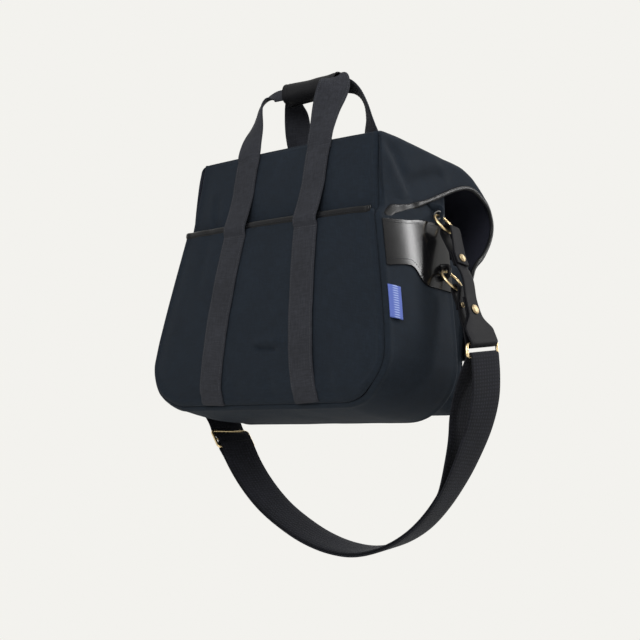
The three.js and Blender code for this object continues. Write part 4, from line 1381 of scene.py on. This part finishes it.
def rivet(name, out, centre, down, stack, radius, height, node):
    axis = np.array([out * -down[1], 0, down[0]])
    profile = dome(radius, height, stack / 2 + 0.2, radius * 0.72)
    obj = lathe(name, profile, spot(out * centre[0], STRAP_Y, centre[1]), axis, [RIVET_BRASS])
    piece(hang_object(obj), "root", "brass_hardware", node)


def leather_strip(name, points, halves, thick, out, count, node, cup=0.0):
    """A leather strip whose half width changes along its line; points are distance out and height."""
    points = np.asarray(points, dtype=float)
    line = resample(flat_line(points, out), count)
    own = run_of(points)
    share = np.linspace(0, own[-1], count)
    half = np.interp(share, own, halves) * MM
    half = smoothed(half, 3)
    wide = np.tile(np.array([0, 1.0, 0]), (count, 1))
    obj = ribbon(name, line, wide, half, thick * MM, [STRAP_LEATHER], cup)
    piece(hang_object(obj), "root", "bridle_leather", node)


def add_chape(name, out):
    down = np.array([RING_SLOPE[0], -RING_SLOPE[1]])
    upper = np.array(UPPER_RING) + down * RING_RADIUS
    lower = np.array(LOWER_RING) + down * RING_RADIUS
    tab_way = np.array([0.44, -0.90]) / math.hypot(0.44, 0.90)
    tab_pin = upper + tab_way * 39
    tab_line = fold(upper, tab_way, 7.6, [47, 33], 2.75)
    count = len(tab_line)
    halves = [11.2] * 2 + [10.2] + [9.2] * (count - 6) + [10.2] + [11.2] * 2
    leather_strip(f"upper_tab_{name}_leather", tab_line, halves, 2.3, out, 90, f"upper_tab_{name}")
    rivet(f"upper_rivet_{name}_dome", out, tab_pin, tab_way, 2 * 2.75 + 2.4, 5.2, 2.4,
          f"upper_rivet_{name}")

    bar_way = LOOP_TOP - np.array([222.0, 146.0])
    bar_way = bar_way / np.linalg.norm(bar_way)
    bar_fold = fold(LOOP_TOP, -bar_way, 3.9, [58, 34, 26, 20], 1.45)[::-1]
    head = [upper + tab_way * 29, upper + tab_way * 38, upper + tab_way * 47, np.array([219.5, 163.0])]
    line = np.vstack([head, bar_fold])
    n = len(bar_fold)
    widening = [11, 12.5, 19, 25.8, 25.2]
    halves = [11, 11, 11, 10.6] + widening + [24.2] * (n - 10) + widening[::-1]
    leather_strip(f"chape_{name}_leather", line, halves, 2.5, out, 150, f"chape_{name}")
    pin = LOOP_TOP - bar_way * 42
    rivet(f"chape_rivet_{name}_dome", out, pin, bar_way, 2 * 1.45 + 3.1, 6.0, 2.1, f"chape_rivet_{name}")

    low_way = np.array([0.27, -0.96]) / math.hypot(0.27, 0.96)
    low_fold = fold(lower, low_way, 4.8, [26, 19], 1.45)
    low_line = np.vstack([[(232, 97), (221, 112)], low_fold])
    halves = [10, 9] + [6.4] * len(low_fold)
    leather_strip(f"lower_strap_{name}_leather", low_line, halves, 2.2, out, 90, f"lower_strap_{name}")
    low_pin = lower + low_way * 21
    rivet(f"lower_rivet_{name}_dome", out, low_pin, low_way, 2 * 1.45 + 3.6, 3.4, 1.5,
          f"lower_rivet_{name}")

    middle = (LOOP_TOP + LOOP_BASE) / 2
    reach = LOOP_TOP - LOOP_BASE
    tall = np.linalg.norm(reach) / 2
    along = np.array([out * reach[0], 0, reach[1]]) / np.linalg.norm(reach)
    centre = spot(out * middle[0], STRAP_Y, middle[1])
    loop = wire_rect(f"strap_loop_{name}_wire", centre, np.array([0, 1.0, 0]), along,
                     25 + 0.8 + 1.9, tall, 1.9, 4.2, [BRASS])
    piece(hang_object(loop), "root", "brass_hardware", f"strap_loop_{name}")


def add_label():
    ys = np.linspace(61, 43, 20)
    zs = np.linspace(97, 136, 22)
    grid = []
    for z in zs:
        t = (61 - ys) / 18
        lift = 0.9 + 1.6 * np.sin(np.clip(t, 0, 1) * math.pi) ** 1.5 + 1.2 * t ** 3
        grid.append(side_point(-1, ys, np.full_like(ys, z + 1.5 * (1 - z / 140)), lift))
    grid = np.array(grid)
    obj = sheet_object("side_label_cloth", grid, 0.7, [LABEL], flip=True)
    piece(obj, "root", "label_cloth", "side_label")


# ---------------------------------------------------------------- front and inside
def add_front_webbing():
    y, z = hood_line(160)
    centre = np.stack([np.zeros(160), y, z], 1)
    ahead = tangents(centre)
    inner = np.stack([np.zeros(160), -ahead[:, 2], ahead[:, 1]], 1)
    flip = (inner * (centre - np.array([0, -40, 250.0]))).sum(1, keepdims=True) < 0
    normal = np.where(flip, -inner, inner)
    keep = (y < -38) & ((z > 158) | (y > -100))
    for name, side in SIDES:
        line = centre[keep] + normal[keep] * (1.8 + 1.2 + 0.9) + np.array([side * 60.0, 0, 0])
        world = resample(np.array([spot(*p) for p in line]), 120)
        wide = np.tile(np.array([1.0, 0, 0]), (120, 1))
        strap = ribbon(f"front_webbing_{name}_band", world, wide, WEB_HALF * MM, WEB_THICK * MM, [WEBBING])
        piece(strap, "flap", "handle_webbing", f"front_webbing_{name}")
        up = resample_like(normal[keep], 120)
        rows = []
        for edge in (-1, 1):
            seam = world + np.array([edge * WEB_SEAM, 0, 0]) * MM + up * 1.22 * MM
            label = f"front_seam_{name}_{edge}"
            rows.append(stitches(label, seam[3:-3], up[3:-3], THREAD_PALE, 3.3, 2.0, 0.3))
        piece(join(f"front_webbing_{name}_stitches", rows), "flap", "handle_webbing")


def pocket_sag(z):
    """How far the front pocket's sides sag outwards at a height."""
    return 4 * bell(z, 48, 26)


def add_front_pocket():
    half, low, top, y0 = 162.0, 15.0, 200.0, -118.2
    us = np.concatenate([[-1, -0.996, -0.99, -0.982, -0.97, -0.95, -0.92], np.linspace(-0.88, 0.88, 44),
                         [0.92, 0.95, 0.97, 0.982, 0.99, 0.996, 1]])
    zs = np.concatenate([[0, 0.5, 1.3, 2.6, 4.5, 7, 11], np.linspace(16, top - low, 46)]) + low
    u, z = np.meshgrid(us, zs)
    corner = 16.0
    drop = np.clip((low + corner - z) / corner, 0, 1)
    w = half - corner + corner * np.sqrt(1 - drop ** 2) + pocket_sag(z)
    x = u * w
    distance = np.minimum(w - abs(x), z - low)
    lift = 3.0 * np.clip(1 - u ** 2, 0, 1) * np.sin(np.clip((z - low) / (top - low + 30), 0, 1) * math.pi)
    flat = np.stack([x, np.full_like(x, y0), z], 2)
    lift += soft_noise(flat, 50, 0.9, 21.0) * np.clip(distance / 12, 0, 1)
    y = y0 - (lift - rounded(distance, 4.0))
    grid = in_frame(np.stack([x, y, z], 2))
    obj = sheet_object("front_pocket_canvas", grid, 2.2, [CANVAS, LINING, CANVAS], flip=False)
    piece(obj, "root", "canvas", "front_pocket_panel")
    path = [(half, top)] + [(half + pocket_sag(z), z) for z in np.linspace(top - 10, low + corner + 1, 20)]
    path += [(half - corner + corner * math.cos(t), low + corner - corner * math.sin(t)) for t in
             np.linspace(0, math.pi / 2, 8)]
    path += [(x, low) for x in np.linspace(half - corner - 4, 0, 20)]
    path = np.array(path)
    path = np.vstack([path, (path * [-1, 1])[::-1][1:]])
    ahead = tangents(np.column_stack([path, np.zeros(len(path))]))[:, :2]
    out = np.stack([-ahead[:, 1], ahead[:, 0]], 1)
    if out[0][0] < 0:
        out = -out
    cross = np.linspace(0, 1, 16)
    rows = []
    for i, (px, pz) in enumerate(path):
        y = y0 + 1.5 + cross * (FRONT_Y - 0.5 - y0)
        lean = -3.0 * np.sin(cross * math.pi) ** 2 - rounded(cross * 45, 4.0)
        rows.append(np.stack([px + out[i][0] * lean, y, pz + out[i][1] * lean], 1))
    flat = np.array(rows)
    world = in_frame(flat)
    strip = sheet_object("front_pocket_gusset_canvas", world, 2.2, [CANVAS, LINING], flip=True)
    piece(strip, "root", "canvas", "front_pocket_gusset")
    rim = resample(np.array([(p[0], p[1], p[2]) for p in grid[-1][3:-3]]), 90)
    up = np.tile(np.array([0, 0, 1.0]), (90, 1))
    band = ribbon("front_pocket_binding", rim, up, 3.4 * MM, 4.2 * MM, [EDGE_LEATHER])
    piece(band, "root", "bridle_leather")


def add_lining():
    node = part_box("lining")
    low, high = np.array(node[0]) / MM, np.array(node[1]) / MM
    x0, x1 = low[0], high[0]
    y0, y1 = low[1], high[1]
    z0, z1 = low[2], high[2]
    corner = 12.0
    loop = []
    corners = [
        (x1 - corner, y1 - corner, 0), (x0 + corner, y1 - corner, 1),
        (x0 + corner, y0 + corner, 2), (x1 - corner, y0 + corner, 3),
    ]
    for cx, cy, start in corners:
        for k in range(7):
            turn = math.pi / 2 * (start + k / 6)
            loop.append((cx + corner * math.cos(turn), cy + corner * math.sin(turn)))
    ring = even_points(np.array(loop), 220, closed=True)
    middle = ring.mean(0)
    rows = []
    for z in np.concatenate([[0.0], np.linspace(3, z1 - z0, 46)]) + z0:
        shrink = 0.995 if z > z0 else 0.985
        rows.append(np.column_stack([(ring - middle) * shrink + middle, np.full(len(ring), z)]))
    flat = np.array(rows)
    wave_in = soft_noise(flat, 40, 1.2, 31.0)
    toward = unit(np.concatenate([middle - flat[:, :, :2], np.zeros((*flat.shape[:2], 1))], 2))
    flat = flat + toward * (1.0 + wave_in)[:, :, None]
    cap = []
    for share in (0.97, 0.9, 0.75, 0.5, 0.25, 0.02):
        cap.append(np.column_stack([(ring - middle) * share + middle, np.full(len(ring), z0 + 0.4)]))
    grid = np.vstack([np.array(cap[::-1]), flat]) * MM
    faces = grid_faces(len(grid), len(ring), wrap_cols=True, flip=True)
    obj = make_object("lining_cloth", grid.reshape(-1, 3), faces, arc_uv(grid), [LINING])
    solid = obj.modifiers.new("thickness", "SOLIDIFY")
    solid.thickness = 0.8 * MM
    solid.offset = 0
    piece(obj, "root", "lining_cloth", "lining")


# The cap of a press stud, as radius and height in metres.
CAP_PROFILE = [
    (0, 0), (0.0064, 0), (0.0066, 0.0004), (0.0062, 0.0012), (0.0052, 0.0022), (0.0036, 0.0029),
    (0.0018, 0.0033), (0, 0.0034),
]


def add_closures():
    for name in ("left", "right"):
        low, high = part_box(f"closure_tab_{name}")
        outline_points = []
        x0, x1, z0, z1 = low.x, high.x, low.z, high.z
        nose = 0.012
        for t in np.linspace(0, math.pi / 2, 9):
            outline_points.append((x1 - nose + nose * math.cos(t), z0 + nose - nose * math.sin(t)))
        for t in np.linspace(0, math.pi / 2, 9):
            outline_points.append((x0 + nose - nose * math.sin(t), z0 + nose - nose * math.cos(t)))
        outline_points += [(x0, z1), (x1, z1)]
        count = len(outline_points)
        points = [(x, high.y, z) for x, z in outline_points] + [(x, low.y, z) for x, z in outline_points]
        faces = [tuple(range(count)), tuple(reversed(range(count, 2 * count)))]
        for k in range(count):
            n = (k + 1) % count
            faces.append((k, k + count, n + count, n))
        obj = make_object(f"closure_tab_{name}_leather", points, faces, None, [LEATHER])
        bevel = obj.modifiers.new("edge", "BEVEL")
        bevel.width = 0.0007
        bevel.segments = 3
        bevel.limit_method = "ANGLE"
        for poly in obj.data.polygons:
            poly.use_smooth = False
        piece(obj, "flap", "bridle_leather", f"closure_tab_{name}")
        inset = 0.0028
        loop = np.array([(x, low.y, z) for x, z in outline_points])
        middle = loop.mean(0)
        inner = loop + unit(middle - loop) * inset
        seam = resample(np.vstack([inner, inner[:1]]), 90)
        thread = stitches(f"closure_tab_{name}_stitches", seam, (0, -1, 0), THREAD)
        piece(thread, "flap", "bridle_leather")
        cap_low, cap_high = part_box(f"stud_cap_{name}")
        centre = np.array([(cap_low.x + cap_high.x) / 2, cap_high.y, (cap_low.z + cap_high.z) / 2])
        cap = lathe(f"stud_cap_{name}_dome", CAP_PROFILE, centre, (0, -1, 0), [BRASS])
        piece(cap, "flap", "brass_hardware", f"stud_cap_{name}")


def finish_cad_nodes():
    looks = {"base_board": BOARD, "stud_post_left": BRASS, "stud_post_right": BRASS}
    for node, material in looks.items():
        obj = bpy.data.objects[node]
        obj.data.materials.clear()
        obj.data.materials.append(material)


add_camera()
strap_parts = add_strap()
route, across, run, middle, strap_path, return_path, strap, return_strand = strap_parts
slider = add_slider(route, across, run, middle)
add_studio()
pocket, back = add_body()
add_pocket_binding(pocket)
add_rear_webbing(pocket, back)
add_hood()
add_handles()
add_grip()
for name, out in SIDES:
    add_yoke(name, out)
    hole = add_ring_tab(name, out, "upper", UPPER_RING)
    add_ring_tab(name, out, "lower", LOWER_RING)
    add_ring(name, out, "upper", UPPER_RING)
    add_ring(name, out, "lower", LOWER_RING)
    add_eyelet(name, out, hole)
    add_chape(name, out)
add_label()
add_front_webbing()
add_front_pocket()
add_lining()
add_closures()
finish_cad_nodes()
